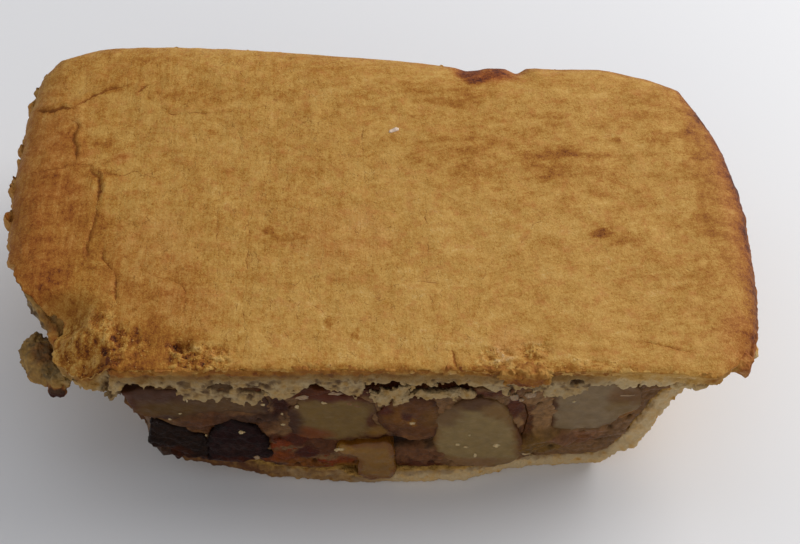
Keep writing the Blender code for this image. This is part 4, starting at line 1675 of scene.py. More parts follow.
    def gravy(self, points: Array) -> Array:
        """Where the crumb takes its stain colour: painted shade just under the skin, in the deep gaps, behind
        the cut, on the left strip and on the broken corner, and gravy patches in the deep gaps above the
        lowest edge.

        Args:
            points: places in plan millimetres, one a row.

        Returns:
            How much stain colour each point takes, from 0 to 1.
        """
        x, y, z = points.T
        hang = np.interp(x, *np.array(self.hang).T)
        middle = eased(z - hang, 0.6, 1.6)
        behind = self.form.behind(points)
        back = eased(behind + 0.3 * Uneven(74).layered(points, 0.9, 3), 0.0, 1.0) * (x > -43)
        patchy = Uneven(73).layered(points, 1.7, 4)
        depth = self.form.depth(points)
        # Painted shade: greyer just under the skin's overhang, then lighter again deeper in.
        shade_under_skin = 0.58 * eased(depth, 1.2, 2.0) - 0.25 * eased(depth + 0.6 * patchy, 3.0, 4.4)
        # Painted shade in the deep gaps and behind the cut, with gravy patches above the lowest edge; soaked
        # holds all of it.
        gaps = eased(depth + 0.5 * patchy, 3.0, 4.2)
        soaked = shade_under_skin + gaps * (0.5 * middle * eased(patchy, 0.0, 0.5) + 0.8 * back)
        soaked *= 1 - 0.85 * eased(x, 34, 42)
        # Painted shade on the left strip, made patchy.
        shelf = 0.5 * faded(x, -56, -50) * eased(y, 10, 13)
        shelf *= 1 + 0.8 * Uneven(75).layered(points, 1.0, 3)
        # Painted shade on the deep broken side of the corner.
        corner = 0.55 * eased(-x, 41, 44) * eased(depth, 4.0, 5.5) * (1 + patchy)
        return np.clip(soaked * (0.45 + 0.55 * eased(x, -47, -38)) + shelf + corner, 0, 1)


@dataclass(frozen=True)
class Bit:
    """A small broken piece made of blobs run together, with crumbly sides. Sizes are in millimetres.

    Each blob has a centre, half sizes, a turn in degrees and how softly it joins the ones before. The
    texture has the size and height of its waves, then those of its grains.
    """

    name: str
    window: Window
    blobs: tuple
    texture: tuple
    seed: int
    browning: float
    spots: tuple = ()
    reddish: tuple = ()
    soaked: tuple = ()
    hollows: tuple = ()

    def build(self, material: Material) -> Object:
        """Make the bit.

        Args:
            material: what it is dressed in.

        Returns:
            The finished piece.
        """
        points, shape = field_grid(self.window.low, self.window.high, self.window.pitch)
        values = np.full(len(points), 9.0)
        for centre, radii, turn, soft in self.blobs:
            values = merged(values, blob(points, centre, radii, turn), soft)
        wave_size, wave_height, grain_size, grain_height = self.texture
        rough = Uneven(self.seed)
        nearest, _, _ = rough.grains(points, grain_size)
        texture = wave_height * rough.layered(points, wave_size, 3) + grain_height * (nearest - 0.5)
        values = values + texture
        for centre, radii, turn in self.hollows:
            values = np.maximum(values, -blob(points, centre, radii, turn) + 0.5 * texture)
        places, quads = skin_of_field(values.reshape(shape), self.window.low, self.window.pitch)
        mottled = rough.layered(places + 30, 1.8, 3) + 0.8 * rough.layered(places + 60, 0.7, 2)
        wander = places + 0.5 * np.stack([rough.layered(places + 9 * k, 1.6, 2) for k in range(3)], axis=1)
        layers = {
            "browning": self.browning + 0.1 * mottled + total_of(self.spots, wander),
            "redness": total_of(self.reddish, wander),
            "gravy": np.clip(total_of(self.soaked, wander) * (1 + 0.5 * mottled), 0, 1),
        }
        return dressed_piece(self.name, places, quads, layers, material)


BROKEN_FLAKE = Bit(
    "broken_flake",
    Window((18.5, -2.2, 30.0), (31.0, 7.0, 38.0), 0.18),
    (
        ((24.4, -0.2, 34.5), (3.3, 0.65, 2.0), 0, 0.1),
        ((25.6, 0.7, 35.8), (3.0, 1.5, 0.7), 0, 0.6),
        ((21.8, 0.2, 35.2), (1.6, 0.7, 1.0), 0, 0.5),
        ((27.7, -0.1, 33.9), (0.8, 0.5, 0.6), 0, 0.3),
    ),
    texture=(1.4, 0.24, 0.7, 0.34),
    seed=81,
    browning=0.54,
    spots=cut_spots((24.6, 34.4, 3.2, 2.2, 0.16), (23.4, 33.2, 2.0, 1.0, 0.08)),
    reddish=(Spot((24.6, 0, 34), (4, None, None), 0.1),),
)
CORNER_NUB = Bit(
    "corner_nub",
    Window((55.5, -0.5, 27.5), (65.5, 9.5, 35.5), 0.22),
    (
        ((60.0, 6.9, 30.9), (1.3, 2.0, 0.9), 25, 0.1),
        ((58.2, 5.0, 31.1), (2.4, 1.5, 0.9), 20, 0.9),
        ((60.4, 5.1, 31.0), (1.5, 1.3, 0.9), 0, 0.8),
        ((57.4, 5.3, 30.4), (2.0, 1.3, 1.0), 0, 0.8),
    ),
    texture=(1.4, 0.2, 0.8, 0.2),
    seed=85,
    browning=0.5,
    spots=(Spot((61.6, None, None), (2.6, None, None), 0.16),),
    reddish=(Spot((62.4, None, None), (2.8, None, None), 0.6),),
)
PALE_FLAKE = Bit(
    "pale_flake",
    Window((0.8, 49.6, 34.8), (5.6, 53.6, 37.4), 0.12),
    (((3.1, 51.6, 36.35), (1.0, 0.45, 0.22), 28, 0.1), ((3.6, 51.9, 36.4), (0.4, 0.3, 0.2), 0, 0.2)),
    texture=(0.8, 0.06, 0.5, 0.06),
    seed=87,
    browning=0.0,
)
RIM_LUMP = Bit(
    "rim_lump_shown",
    Window((-63.5, 1.0, 15.5), (-47.5, 20.5, 27.5), 0.23),
    (
        ((-58.0, 13.6, 21.0), (3.1, 3.8, 2.7), 20, 0.1),
        ((-56.6, 10.6, 21.0), (2.9, 2.6, 2.3), 35, 1.0),
        ((-53.4, 8.2, 21.2), (2.3, 2.0, 1.7), 45, 0.8),
        ((-53.9, 7.0, 20.6), (1.7, 1.4, 1.5), 0, 0.2),
    ),
    texture=(1.7, 0.4, 0.9, 0.48),
    seed=101,
    browning=0.45,
    spots=(
        Spot((-56.4, 12.2, 24.0), (2.0, 2.4, 2.4), 0.26),
        Spot((-54.0, 6.4, 20.2), (1.9, 1.9, 1.7), 0.7),
        Spot((-52.2, 8.4, 22.2), (3.4, 2.2, 1.8), -0.22),
        Spot((-60.6, 13.0, 21.6), (2.0, 4.0, 3.0), -0.06),
    ),
    reddish=(
        Spot((-56.4, 12.2, 24.0), (2.2, 2.6, 2.6), 0.5),
        Spot((-54.0, 6.4, 20.2), (2.1, 2.0, 1.8), 0.9),
    ),
    soaked=(
        Spot((-57.4, 13.0, 21.0), (6.0, 6.0, 6.0), 0.55),
        Spot((-53.0, 8.0, 22.4), (4.0, 4.0, 2.4), 0.3),
    ),
    hollows=(((-56.2, 12.2, 24.5), (1.6, 2.1, 1.3), 20),),
)


@dataclass
class BaseCrust:
    """The bowl of base crust, crumbly where it was cut and broken.

    forward holds places along the cut and how far its lower edge comes forward there. wall_middle holds
    heights, each with where the middle of the right wall lies. Sizes are in plan millimetres.
    """

    relief: Relief = Relief(
        pitch=0.58, rounding=3, lump_size=7.0, lump_height=0.35, grain_size=1.6, grain_height=0.22,
        swell=0.12, seed=4.0,
    )
    forward: tuple = (
        (-42, -36, -28, -19, -9, 0, 10, 16, 19, 26, 36),
        (0.0, 0.8, 1.2, 1.3, 0.8, 0.4, 0.3, 1.4, 1.0, 0.5, 0.3),
    )
    pushed_in: float = 3.6
    corner_back: float = 9.0
    corner_in: float = 3.2
    right_lift: float = 2.0
    fine_to: float = 7.0
    wall_middle: tuple = ((0, 37), (4, 41), (8, 43), (12, 45), (18, 47), (26, 48.5))

    def build(self, trees: ShapeTrees, material: Material) -> Object:
        """Make the bowl.

        Args:
            trees: the Geometry Nodes trees.
            material: what it is dressed in.

        Returns:
            The finished piece.
        """
        piece = self.relief.shaped("base_crust", trees, material)
        refine_front(piece, self.fine_to)
        points = self.straightened(plan_points(piece))
        normals = point_normals(piece)
        x, y, z = points.T
        cut = eased(-normals[:, 1], 0.3, 0.8) * faded(y, 9, 13)
        broken = (x < -30) * (y < 30) * eased(-normals[:, 1] - normals[:, 0], 0.5, 1.0)
        cut = np.maximum(cut, broken)
        rough, crumbs, patchy = Uneven(91), Uneven(92), Uneven(93)
        nearest, _, value = crumbs.grains(points, 1.1)
        small, _, _ = crumbs.grains(points, 0.6)
        ragged = np.maximum(cut, 0.7 * (y < 12)) * (0.45 + 0.55 * eased(z, 0.8, 2.4))
        move = ragged * (0.42 * rough.layered(points, 1.5, 4) - 0.6 * (nearest - 0.5) - 0.45 * (small - 0.5))
        points = points + normals * move[:, None]
        points[:, 2] = np.maximum(points[:, 2], 0.0)
        move_points(piece, points)
        x, _, z = points.T
        tone = 0.36 + 0.07 * patchy.layered(points, 9, 4) + 0.05 * patchy.layered(points, 1.6, 2)
        tone += 0.08 * faded(z, 0, 4) + 0.1 * eased(z, 22, 26)
        flecks = 0.3 * eased(value, 0.8, 0.92) * faded(nearest, 0.3, 0.6)
        # pale makes the cut strip paler towards the right and darker at the left, where the darkening is
        # painted shade.
        pale = 0.18 * eased(x, -20, 12) - 0.2 * faded(x, -24, -12)
        tone = (1 - cut) * tone + cut * (0.22 - pale + 0.16 * patchy.layered(points, 2.2, 4) + flecks)
        set_layer(piece, "browning", tone)
        set_layer(piece, "redness", 0.1 * cut)
        soaked = cut * eased(z + 1.1 * patchy.layered(points, 2.6, 3), 2.4, 3.8) * (x < 34)
        heights, walls = np.array(self.wall_middle).T
        inner = cut * faded(x - np.interp(z, heights, walls), -0.8, 0.5)
        inner *= eased(x, 30, 36) * eased(z, 1.5, 4)
        # dim is painted shade on the cut strip from the middle leftwards, strongest at the left end, stored
        # in the gravy layer with the soaked gravy and the stained inner wall.
        dim = cut * faded(x, -3, 7) * (0.6 + 0.3 * faded(x, -26, -12))
        dim *= 1 + 0.4 * patchy.layered(points + 20, 1.5, 3)
        set_layer(piece, "gravy", np.clip(np.maximum(0.5 * soaked + 0.3 * inner, dim), 0, 1))
        return piece

    def straightened(self, points: Array) -> Array:
        """Bring the cut's lower edge forward, and the broken end of the left wall inwards.

        Args:
            points: the bowl's points in plan millimetres, which are moved.

        Returns:
            The same points.
        """
        x, y, z = points.T
        near = faded(y, 5, 11) * faded(z, 4, 9)
        y -= near * np.interp(x, *self.forward)
        end = eased(-x, 48, 54) * faded(y, 25, 38)
        x += self.pushed_in * end
        corner = eased(-x, 37, 41) * faded(y, 9, 30) * eased(z, 5, 9)
        y += self.corner_back * corner
        x += self.corner_in * corner
        right = eased(x, 38, 43) * faded(y, 6, 16) * faded(z, 3, 9)
        z += self.right_lift * right
        return points


class Food(Enum):
    """The sorts of pieces in the filling."""

    POTATO = "potato"
    DARK_MEAT = "dark_meat"
    MEAT = "meat"
    ONION = "onion"
    CARROT = "carrot"


@dataclass(frozen=True)
class Morsel:
    """One piece of the filling that the knife went through.

    Its outline is the one of its cut face, as places along x and z, anticlockwise. face and back are how
    far behind the cut it starts and ends, and rim is the width of the stained band along its outline.
    Sizes are in plan millimetres.
    """

    node: str
    food: Food
    outline: tuple
    face: float
    back: float
    colour: tuple
    rim_colour: tuple
    rim: float = 1.4
    rounding: float = 1.3
    roughness: float = 0.1
    grain: float = 2.5
    bulge: float = 0.5
    spots: tuple = ()
    pitch: float = 0.28
    wobble: float = 0.28

    def inward(self, section: Array) -> Array:
        """How far inside the outline, with its small bends, places of the section lie."""
        line = even_path([*self.outline, self.outline[0]], 0.7)
        return beside(section, line)[0] + self.wobble * Uneven(121).layered(with_zero(section), 1.8, 3)

    def build(self, material: Material) -> Object:
        """Make the piece.

        Args:
            material: what it is dressed in.

        Returns:
            The finished piece.
        """
        corners = np.array(self.outline)
        low = (corners[:, 0].min() - 1.2, self.face - 1.8, max(corners[:, 1].min() - 1.2, 0.3))
        high = (corners[:, 0].max() + 1.2, self.back + 0.8, corners[:, 1].max() + 1.2)
        points, shape = field_grid(low, high, self.pitch)
        section = points.reshape(*shape, 3)[:, 0, :][..., [0, 2]].reshape(-1, 2)
        inward = self.inward(section).reshape(shape[0], 1, shape[2])
        y = points[:, 1].reshape(shape)
        middle = (self.face + self.back) / 2
        deep = np.clip((y - middle) / (self.back - middle), 0, 1)
        side = 0.3 * np.ptp(corners[:, 1]) * (1 - np.sqrt(1 - 0.99 * deep**2)) - inward
        front = self.face - self.bulge * eased(inward, 0, 4) - y
        values = np.maximum(-merged(-side, -front, self.rounding), y - self.back).reshape(-1)
        near = np.abs(values) < 1.2
        uneven = Uneven(len(self.node) + int(self.grain * 10))
        lumps, _, _ = uneven.grains(points[near], self.grain)
        texture = uneven.layered(points[near], self.grain, 3) + 1.2 * (lumps - 0.5)
        values[near] += self.roughness * texture
        places, quads = skin_of_field(values.reshape(shape), low, self.pitch)
        layers = {"tone": self.tone(places, uneven)}
        return dressed_piece(f"{self.node}_shown", places, quads, layers, material)

    def tone(self, places: Array, uneven: Uneven) -> Array:
        """The piece's colour: stained towards its outline and behind its face."""
        far = self.inward(places[:, [0, 2]]) + 0.5 * self.rim * uneven.layered(places, 2.2, 3)
        rim = faded(far, 0, self.rim)
        rim = np.maximum(rim, eased(places[:, 1] - self.face, 0.7, 2.2))
        tone = np.outer(1 - rim, linear(self.colour)) + np.outer(rim, linear(self.rim_colour))
        wander = places + 0.8 * np.stack([uneven.layered(places + 20 * k, 2.5, 3) for k in range(3)], axis=1)
        return painted(tone, self.spots, wander, 0.0, 2.2)


@dataclass
class Filling:
    """The minced meat and gravy between the larger pieces, as far back as it can be seen.

    line holds places along the cut and how far behind it the filling starts there. The spots of raised
    bring it forward and those of zones colour it. Sizes are in plan millimetres.
    """

    relief: Relief = Relief(
        pitch=0.46, rounding=5, lump_size=3.4, lump_height=0.4, grain_size=1.1, grain_height=0.2,
        swell=0.0, seed=2.0,
    )
    back_limit: float = 30.0
    fine_to: float = 7.0
    line: tuple = (
        (-52, -46, -41, -38.4, -37, -28, 20, 28, 48),
        (26, 16, 7, 3.0, 1.5, 1.2, 1.2, 3.3, 4.2),
    )
    raised: tuple = cut_spots(
        (-24.5, 20.6, 8, 2.0, 0.5), (-31.0, 19.4, 4, 1.6, 0.5), (26.8, 18, 4.2, 9, 0.5),
        (29, 10.6, 5.5, 3.6, 1.6), (37, 12.6, 6.5, 2.6, 0.7), (43, 19, 3.5, 5, 0.3),
        (-12.5, 9, 8, 5, 0.6), (8, 8, 5.5, 3.4, 0.4), (5.6, 12.6, 5.4, 1.5, -1.6),
        (-15.6, 23.5, 1.2, 3.4, -0.4),
    )
    zones: tuple = cut_spots(
        (-25, 18.6, 9, 4.2, (90, 53, 26)), (-20, 20.6, 6, 1.6, (70, 43, 25)),
        (-15.8, 24, 1.8, 4, (57, 23, 6)), (-12.5, 14.0, 7, 1.8, (75, 30, 8)),
        (-16.5, 8.0, 4, 2.6, (110, 50, 6)), (-13.0, 6.2, 7, 1.6, (110, 61, 11)),
        (-9.0, 12.0, 4, 2.2, (84, 46, 20)), (-12.0, 10.0, 2.0, 2.0, (68, 24, 8)),
        (-5.6, 6.6, 2.6, 1.6, (119, 53, 5)), (-4.8, 4.4, 3.4, 1.4, (119, 74, 17)),
        (6.5, 8.0, 6.0, 3.6, (103, 64, 36)), (8.0, 5.4, 4.5, 1.3, (77, 36, 14)),
        # The near-black zone at x 5.6, z 12.8, where the filling is set back under the meat fold, is painted
        # shade.
        (5.6, 12.8, 5.6, 1.9, (42, 21, 9)), (0.5, 14.6, 4.0, 0.9, (66, 33, 9)),
        (27.6, 19, 4.6, 8, (138, 102, 64)), (25.9, 16, 1.2, 8, (89, 50, 17)),
        (23.8, 23, 1.6, 3, (83, 40, 17)), (29.5, 10.4, 6, 3.8, (109, 77, 27)),
        (34.5, 12.4, 5, 1.6, (120, 80, 50)), (35.6, 10.2, 3.6, 2.2, (112, 70, 36)),
        (39.4, 17.6, 2.6, 2.4, (85, 40, 24)), (42.5, 19.6, 2.0, 3.6, (123, 80, 26)),
        (45, 24, 3, 4, (110, 75, 38)), (-34, 7, 7, 4.5, (53, 28, 9)), (-23, 6, 7, 2, (53, 28, 9)),
        # The band along the top, under the lid, is partly gravy film and partly painted shade of the lid's
        # overhang.
        (0, 28.2, 30, 1.6, (82, 39, 14)),
    )

    def build(self, trees: ShapeTrees, material: Material) -> Object:
        """Make the filling.

        Args:
            trees: the Geometry Nodes trees.
            material: what it is dressed in.

        Returns:
            The finished piece.
        """
        nodes = tuple(morsel.node for morsel in MORSELS)
        piece = self.relief.shaped("filling", trees, material, self.back_limit, nodes)
        refine_front(piece, self.fine_to)
        points = plan_points(piece)
        x, y, z = points.T
        facing = eased(-point_normals(piece)[:, 1], 0.2, 0.5) * (y < 6)
        lumps, holes = Uneven(111), Uneven(112)
        nearest, following, value = lumps.grains(points, (2.0, 2.0, 1.6))
        hole, _, depth = holes.grains(points, 2.6)
        seam = faded(following - nearest, 0.02, 0.3)
        pit = faded(hole, 0.12, 0.3) * eased(depth, 0.45, 0.6)
        front = np.interp(x, *self.line)
        front = front - total_of(self.raised, points)
        left = faded(x, -22, -14)
        front += (1.5 + 1.6 * left) * faded(z, 2.6 + 2.6 * left, 4.6 + 3.2 * left)
        front += 0.25 * (nearest - 0.5) + 0.08 * seam + 0.6 * pit + 0.22 * lumps.layered(points, 2.6, 4)
        moved = np.where(facing > 0, front, np.maximum(y, front))
        points[:, 1] = facing * moved + (1 - facing) * np.maximum(y, front)
        move_points(piece, points)
        tone = np.tile(np.array(linear((115, 82, 49))), (len(points), 1))
        wander = points + 0.9 * np.stack([Uneven(113 + k).layered(points, 3, 3) for k in range(3)], axis=1)
        tone = painted(tone, self.zones, wander)
        tone *= (0.9 + 0.2 * value)[:, None]
        # The seams between the lumps and the pits are painted darker, as shade in them.
        tone *= (1 - 0.15 * seam - 0.55 * pit)[:, None]
        set_layer(piece, "tone", tone)
        return piece


# The darker spots along the tops of potato_left, potato_middle and potato_round, under the lid, are partly
# gravy film and partly painted shade of the lid's overhang.
MORSELS = (
    Morsel(
        "potato_left", Food.POTATO,
        (
            (-41.3, 28.0), (-40.2, 24.3), (-39.9, 22.7), (-39.0, 21.3), (-37.6, 20.5), (-35.1, 19.9),
            (-32.6, 20.2), (-29.1, 20.8), (-24.9, 21.4), (-20.7, 21.6), (-17.7, 21.6), (-17.1, 23.0),
            (-17.4, 25.2), (-18.3, 27.4), (-24, 28.8), (-32, 29.2), (-38.1, 29.2),
        ),
        face=1.05, back=13.5, colour=(87, 61, 33), rim_colour=(64, 37, 22), rim=2.2, rounding=0.5,
        roughness=0.16, grain=2.5, bulge=0.1,
        spots=cut_spots(
            (-38.6, 23.0, 3.4, 1.6, (90, 51, 14)), (-34.5, 23.6, 5.0, 1.8, (85, 59, 21)),
            (-35.5, 28.4, 8, 2.2, (72, 44, 28)), (-40.8, 26.4, 1.6, 2.4, (77, 43, 25)),
        ),
    ),
    Morsel(
        "potato_middle", Food.POTATO,
        (
            (-14.3, 22.7), (-14.9, 19.8), (-14.3, 16.9), (-13.4, 14.9), (-11.9, 13.7), (-9.7, 13.3),
            (-6.8, 13.2), (-3.9, 13.7), (-0.8, 14.2), (1.4, 14.7), (2.1, 15.6), (1.6, 17.6), (0.3, 19.2),
            (-0.2, 20.4), (0.5, 23.0), (0.4, 24.6), (-0.9, 26.0), (-3.0, 27.2), (-6.3, 27.8),
            (-9.6, 27.8), (-11.8, 26.8), (-13.2, 25.0),
        ),
        face=1.0, back=13.0, colour=(110, 85, 43), rim_colour=(81, 49, 26), rim=2.2, rounding=0.5,
        roughness=0.16, grain=2.5, bulge=0.12,
        spots=cut_spots(
            (-11.0, 15.8, 3.6, 2.0, (107, 54, 14)), (-14.2, 19, 2.0, 4, (63, 35, 16)),
            (-8, 27.6, 7, 1.6, (81, 37, 17)), (-0.6, 19.6, 0.9, 1.6, (81, 42, 10)),
            (0.6, 16.8, 1.8, 1.8, (115, 80, 28)),
        ),
    ),
    Morsel(
        "potato_round", Food.POTATO,
        (
            (9.9, 11.9), (10.9, 8.9), (12.7, 6.9), (14.9, 5.0), (17.6, 4.2), (20.2, 4.2), (22.8, 5.0),
            (24.8, 6.8), (25.6, 9.2), (25.6, 11.9), (25.1, 14.6), (24.1, 17.6), (22.9, 20.8),
            (21.6, 23.9), (20.0, 26.0), (18.2, 26.8), (15.9, 26.4), (13.9, 25.2), (12.0, 23.5),
            (10.7, 21.8), (10.2, 18.9), (10.0, 15.3),
        ),
        face=0.9, back=14.5, colour=(129, 107, 67), rim_colour=(107, 75, 36), rim=2.2, rounding=0.5,
        roughness=0.14, grain=2.6, bulge=0.12,
        spots=cut_spots(
            (16.5, 26.2, 6, 2.4, (84, 56, 32)), (20.5, 23.4, 2.6, 2.4, (116, 86, 46)),
            (12, 22, 2.4, 3.4, (104, 78, 48)), (17, 6.4, 5.5, 1.6, (121, 88, 53)),
            (25.2, 18.0, 0.9, 8, (85, 50, 21)),
        ),
    ),
    Morsel(
        "potato_right", Food.POTATO,
        (
            (29.6, 24.5), (29.7, 21.7), (29.7, 19.1), (30.1, 16.6), (30.3, 14.3), (30.9, 13.5),
            (31.9, 12.9), (34.0, 12.9), (35.9, 13.3), (37.9, 13.9), (39.0, 14.6), (40.6, 15.9),
            (42.1, 17.9), (43.6, 19.5), (44.7, 21.1), (44.7, 22.8), (44.3, 25.0), (43.4, 27.2),
            (40.7, 28.4), (37.4, 28.4), (34.0, 28.0), (31.0, 27.0),
        ),
        face=3.0, back=15.5, colour=(124, 103, 74), rim_colour=(97, 70, 36), rim=1.0, rounding=0.5,
        roughness=0.1, grain=2.6, bulge=0.07,
        spots=cut_spots(
            (29.9, 19.0, 1.1, 5.5, (77, 45, 20)), (42.0, 21.5, 2.6, 3.4, (115, 90, 52)),
            (42.0, 25.0, 3.0, 2.6, (106, 73, 38)),
        ),
    ),
    Morsel(
        "dark_meat_round", Food.DARK_MEAT,
        (
            (-28.4, 15.0), (-29.0, 8.2), (-27.8, 7.4), (-25.7, 6.8), (-23.5, 6.8), (-21.7, 7.6),
            (-19.6, 8.0), (-18.0, 8.3), (-17.5, 9.6), (-18.0, 11.3), (-18.1, 13.0), (-18.3, 14.6),
            (-18.9, 16.0), (-19.3, 17.3), (-20.0, 18.6), (-20.8, 19.2), (-22.3, 19.9), (-23.4, 20.7),
            (-24.4, 20.7), (-25.5, 19.9), (-26.6, 18.6), (-27.7, 16.6),
        ),
        face=0.35, back=9.3, colour=(32, 11, 9), rim_colour=(20, 6, 4), rim=1.0, rounding=0.7,
        roughness=0.26, grain=1.5, bulge=0.15,
        spots=cut_spots((-23, 12, 3, 2, (40, 20, 15)), (-24, 7.6, 5, 1.2, (56, 20, 4))),
    ),
    Morsel(
        "dark_meat_strip", Food.DARK_MEAT,
        (
            (-37.3, 19.8), (-37.9, 17.6), (-38.3, 16.3), (-38.2, 14.6), (-38.9, 13.1), (-38.6, 11.6),
            (-37.8, 10.7), (-37.0, 11.3), (-35.7, 10.9), (-35.6, 9.2), (-35.2, 8.2), (-34.2, 7.3),
            (-33.3, 8.0), (-32.3, 7.7), (-30.6, 7.1), (-28.6, 6.9), (-28.2, 11.9), (-28.4, 13.8),
            (-29.2, 15.1), (-30.4, 15.8), (-31.3, 16.8), (-32.8, 17.9), (-34.5, 18.5), (-35.7, 19.2),
            (-36.4, 20.2),
        ),
        face=0.9, back=9.3, colour=(32, 17, 9), rim_colour=(25, 11, 6), rim=1.0, rounding=0.5,
        roughness=0.36, grain=1.3, bulge=0.1,
        spots=cut_spots((-36, 9.6, 4, 1.6, (54, 21, 3)), (-31, 7.2, 4, 1.0, (54, 21, 3))),
    ),
    Morsel(
        "meat_fold", Food.MEAT,
        (
            (0.0, 20.6), (0.6, 19.0), (1.6, 17.7), (2.3, 16.4), (3.0, 15.8), (4.7, 14.4), (6.4, 13.4),
            (8.6, 13.2), (9.8, 14.1), (10.6, 16.1), (11.1, 18.7), (11.0, 21.6), (10.8, 24.4),
            (9.3, 26.6), (6.8, 27.0), (4.4, 26.6), (2.4, 25.4), (1.0, 23.4),
        ),
        face=0.9, back=10.3, colour=(91, 53, 19), rim_colour=(69, 35, 9), rim=1.2, rounding=0.56,
        roughness=0.2, grain=1.9, bulge=0.15,
        spots=cut_spots(
            (3.2, 21.6, 2.2, 2.6, (105, 64, 13)), (1.6, 23.4, 1.4, 1.6, (77, 29, 3)),
            (6.4, 19.6, 1.0, 0.8, (128, 82, 19)), (5.8, 21.6, 0.9, 1.2, (69, 27, 6)),
            (5.8, 14.6, 2.6, 0.8, (105, 64, 27)), (9.8, 21, 1.6, 3, (98, 63, 20)),
        ),
    ),
    Morsel(
        "onion_piece", Food.ONION,
        (
            (-6.8, 11.6), (-5.7, 10.3), (-4.3, 9.6), (-3.1, 8.9), (-3.1, 6.8), (-3.0, 4.0), (-2.4, 2.2),
            (-1.0, 1.5), (1.7, 1.5), (3.1, 2.2), (3.7, 4.7), (3.6, 7.1), (3.4, 10.6), (3.0, 13.0),
            (2.0, 14.0), (0.1, 13.9), (-2.5, 13.5), (-4.5, 13.1), (-5.7, 13.4),
        ),
        face=0.0, back=6.4, colour=(125, 86, 23), rim_colour=(107, 63, 9), rim=1.3, rounding=0.56,
        roughness=0.12, grain=2.2, bulge=0.2,
        spots=cut_spots(
            (-5.4, 12.2, 1.4, 1.0, (140, 99, 31)), (0.5, 13.6, 4, 0.9, (110, 67, 14), 0.7),
            (0.5, 2.0, 3, 1.0, (109, 61, 10), 0.7),
        ),
    ),
    Morsel(
        "carrot_left", Food.CARROT,
        (
            (-18.0, 12.9), (-17.8, 10.9), (-16.4, 9.9), (-15.1, 9.2), (-14.0, 9.6), (-13.2, 10.9),
            (-13.6, 12.5), (-15.0, 13.7), (-16.7, 14.0),
        ),
        face=0.8, back=6.6, colour=(117, 48, 3), rim_colour=(92, 37, 7), rim=1.2, rounding=0.5,
        roughness=0.3, grain=1.2, bulge=0.1,
    ),
    Morsel(
        "carrot_right", Food.CARROT,
        (
            (-9.9, 8.9), (-9.8, 6.8), (-9.3, 5.4), (-8.0, 5.0), (-6.5, 5.7), (-6.2, 7.5), (-6.8, 8.9),
            (-7.8, 9.9), (-9.2, 9.9),
        ),
        face=0.7, back=6.2, colour=(117, 46, 3), rim_colour=(88, 33, 5), rim=1.2, rounding=0.5,
        roughness=0.3, grain=1.2, bulge=0.1,
    ),
)


@dataclass(frozen=True)
class PaleBits:
    """Small uneven bits that lie on the cut, each with its place along x and z, width and height."""

    name: str
    colour: tuple
    seed: int
    places: tuple
    start: float = 8.0

    def build(self, pieces: list, material: Material) -> Object:
        """Lay the bits on the front of other pieces.

        Args:
            pieces: what they may lie on.
            material: what they are dressed in.

        Returns:
            The bits, as one plain mesh.
        """
        graph = bpy.context.evaluated_depsgraph_get()
        fronts = [BVHTree.FromObject(piece, graph) for piece in pieces]
        ball, faces = self.ball()
        rough = Uneven(self.seed)
        points, quads = [], []
        for number, (x, z, width, height) in enumerate(self.places):
            start = to_frame(np.array((x, -self.start, z)))
            hits = [front.ray_cast(start.tolist(), (0.0, 1.0, 0.0)) for front in fronts]
            missed = (self.start + 0.5) * MM
            depth = min((hit[3] for hit in hits if hit[0] is not None), default=missed) / MM - self.start
            uneven = rough.layered(ball * 1.3 + 7.7 * number, 1.0, 3)
            lump = ball * (1 + 0.45 * uneven[:, None]) * (width / 2, 0.3 * min(width, height), height / 2)
            quads.append(faces + len(ball) * number)
            points.append(lump + (x, depth, z))
        points = np.vstack(points)
        tone = np.tile(np.array(linear(self.colour)), (len(points), 1))
        return dressed_piece(self.name, points, np.vstack(quads), {"tone": tone}, material)

    def ball(self) -> tuple[Array, Array]:
        """Points and faces of a small ball with a radius of 1."""
        builder = bmesh.new()
        bmesh.ops.create_icosphere(builder, subdivisions=3, radius=1)
        points = np.array([tuple(vert.co) for vert in builder.verts])
        faces = np.array([[vert.index for vert in face.verts] for face in builder.faces])
        builder.free()
        return points, faces


PALE_BITS = PaleBits(
    "pale_bits",
    (190, 164, 122),
    131,
    (
        (-30.7, 26.3, 0.3, 1.0), (-32.3, 22.2, 0.6, 0.4), (-34.2, 20.3, 0.6, 0.6), (-22.4, 17.4, 1.0, 0.9),
        (-28.7, 14.8, 0.5, 0.6), (-18.3, 25.1, 0.7, 0.7), (-12.7, 24.4, 0.7, 0.9), (-8.2, 25.7, 0.9, 0.7),
        (-15.4, 18.4, 0.7, 0.5), (-15.4, 21.0, 0.4, 0.7), (6.4, 19.4, 0.9, 0.7), (14.3, 12.4, 0.8, 0.6),
        (15.7, 11.8, 0.8, 0.6), (20.9, 12.1, 1.1, 1.0), (-5.9, 12.2, 1.5, 0.6), (-6.6, 10.6, 0.8, 1.1),
        (33.4, 22.9, 0.6, 0.4), (28.5, 24.4, 0.3, 1.2), (16.2, 15.4, 0.4, 0.4), (26.4, 7.4, 1.7, 1.2),
        (30.2, 6.4, 1.3, 0.8), (17.4, 9.0, 0.5, 1.2),
    ),
)
FAT_BITS = PaleBits(
    "fat_bits",
    (158, 132, 104),
    132,
    (
        (23.1, 25.7, 1.9, 1.5), (25.9, 25.6, 2.0, 1.6), (24.5, 24.6, 0.9, 0.9), (41.9, 24.7, 2.4, 0.4),
        (-20.5, 9.0, 1.1, 1.0), (-11.6, 27.0, 2.2, 1.0), (-6.4, 28.0, 2.2, 0.9),
    ),
)


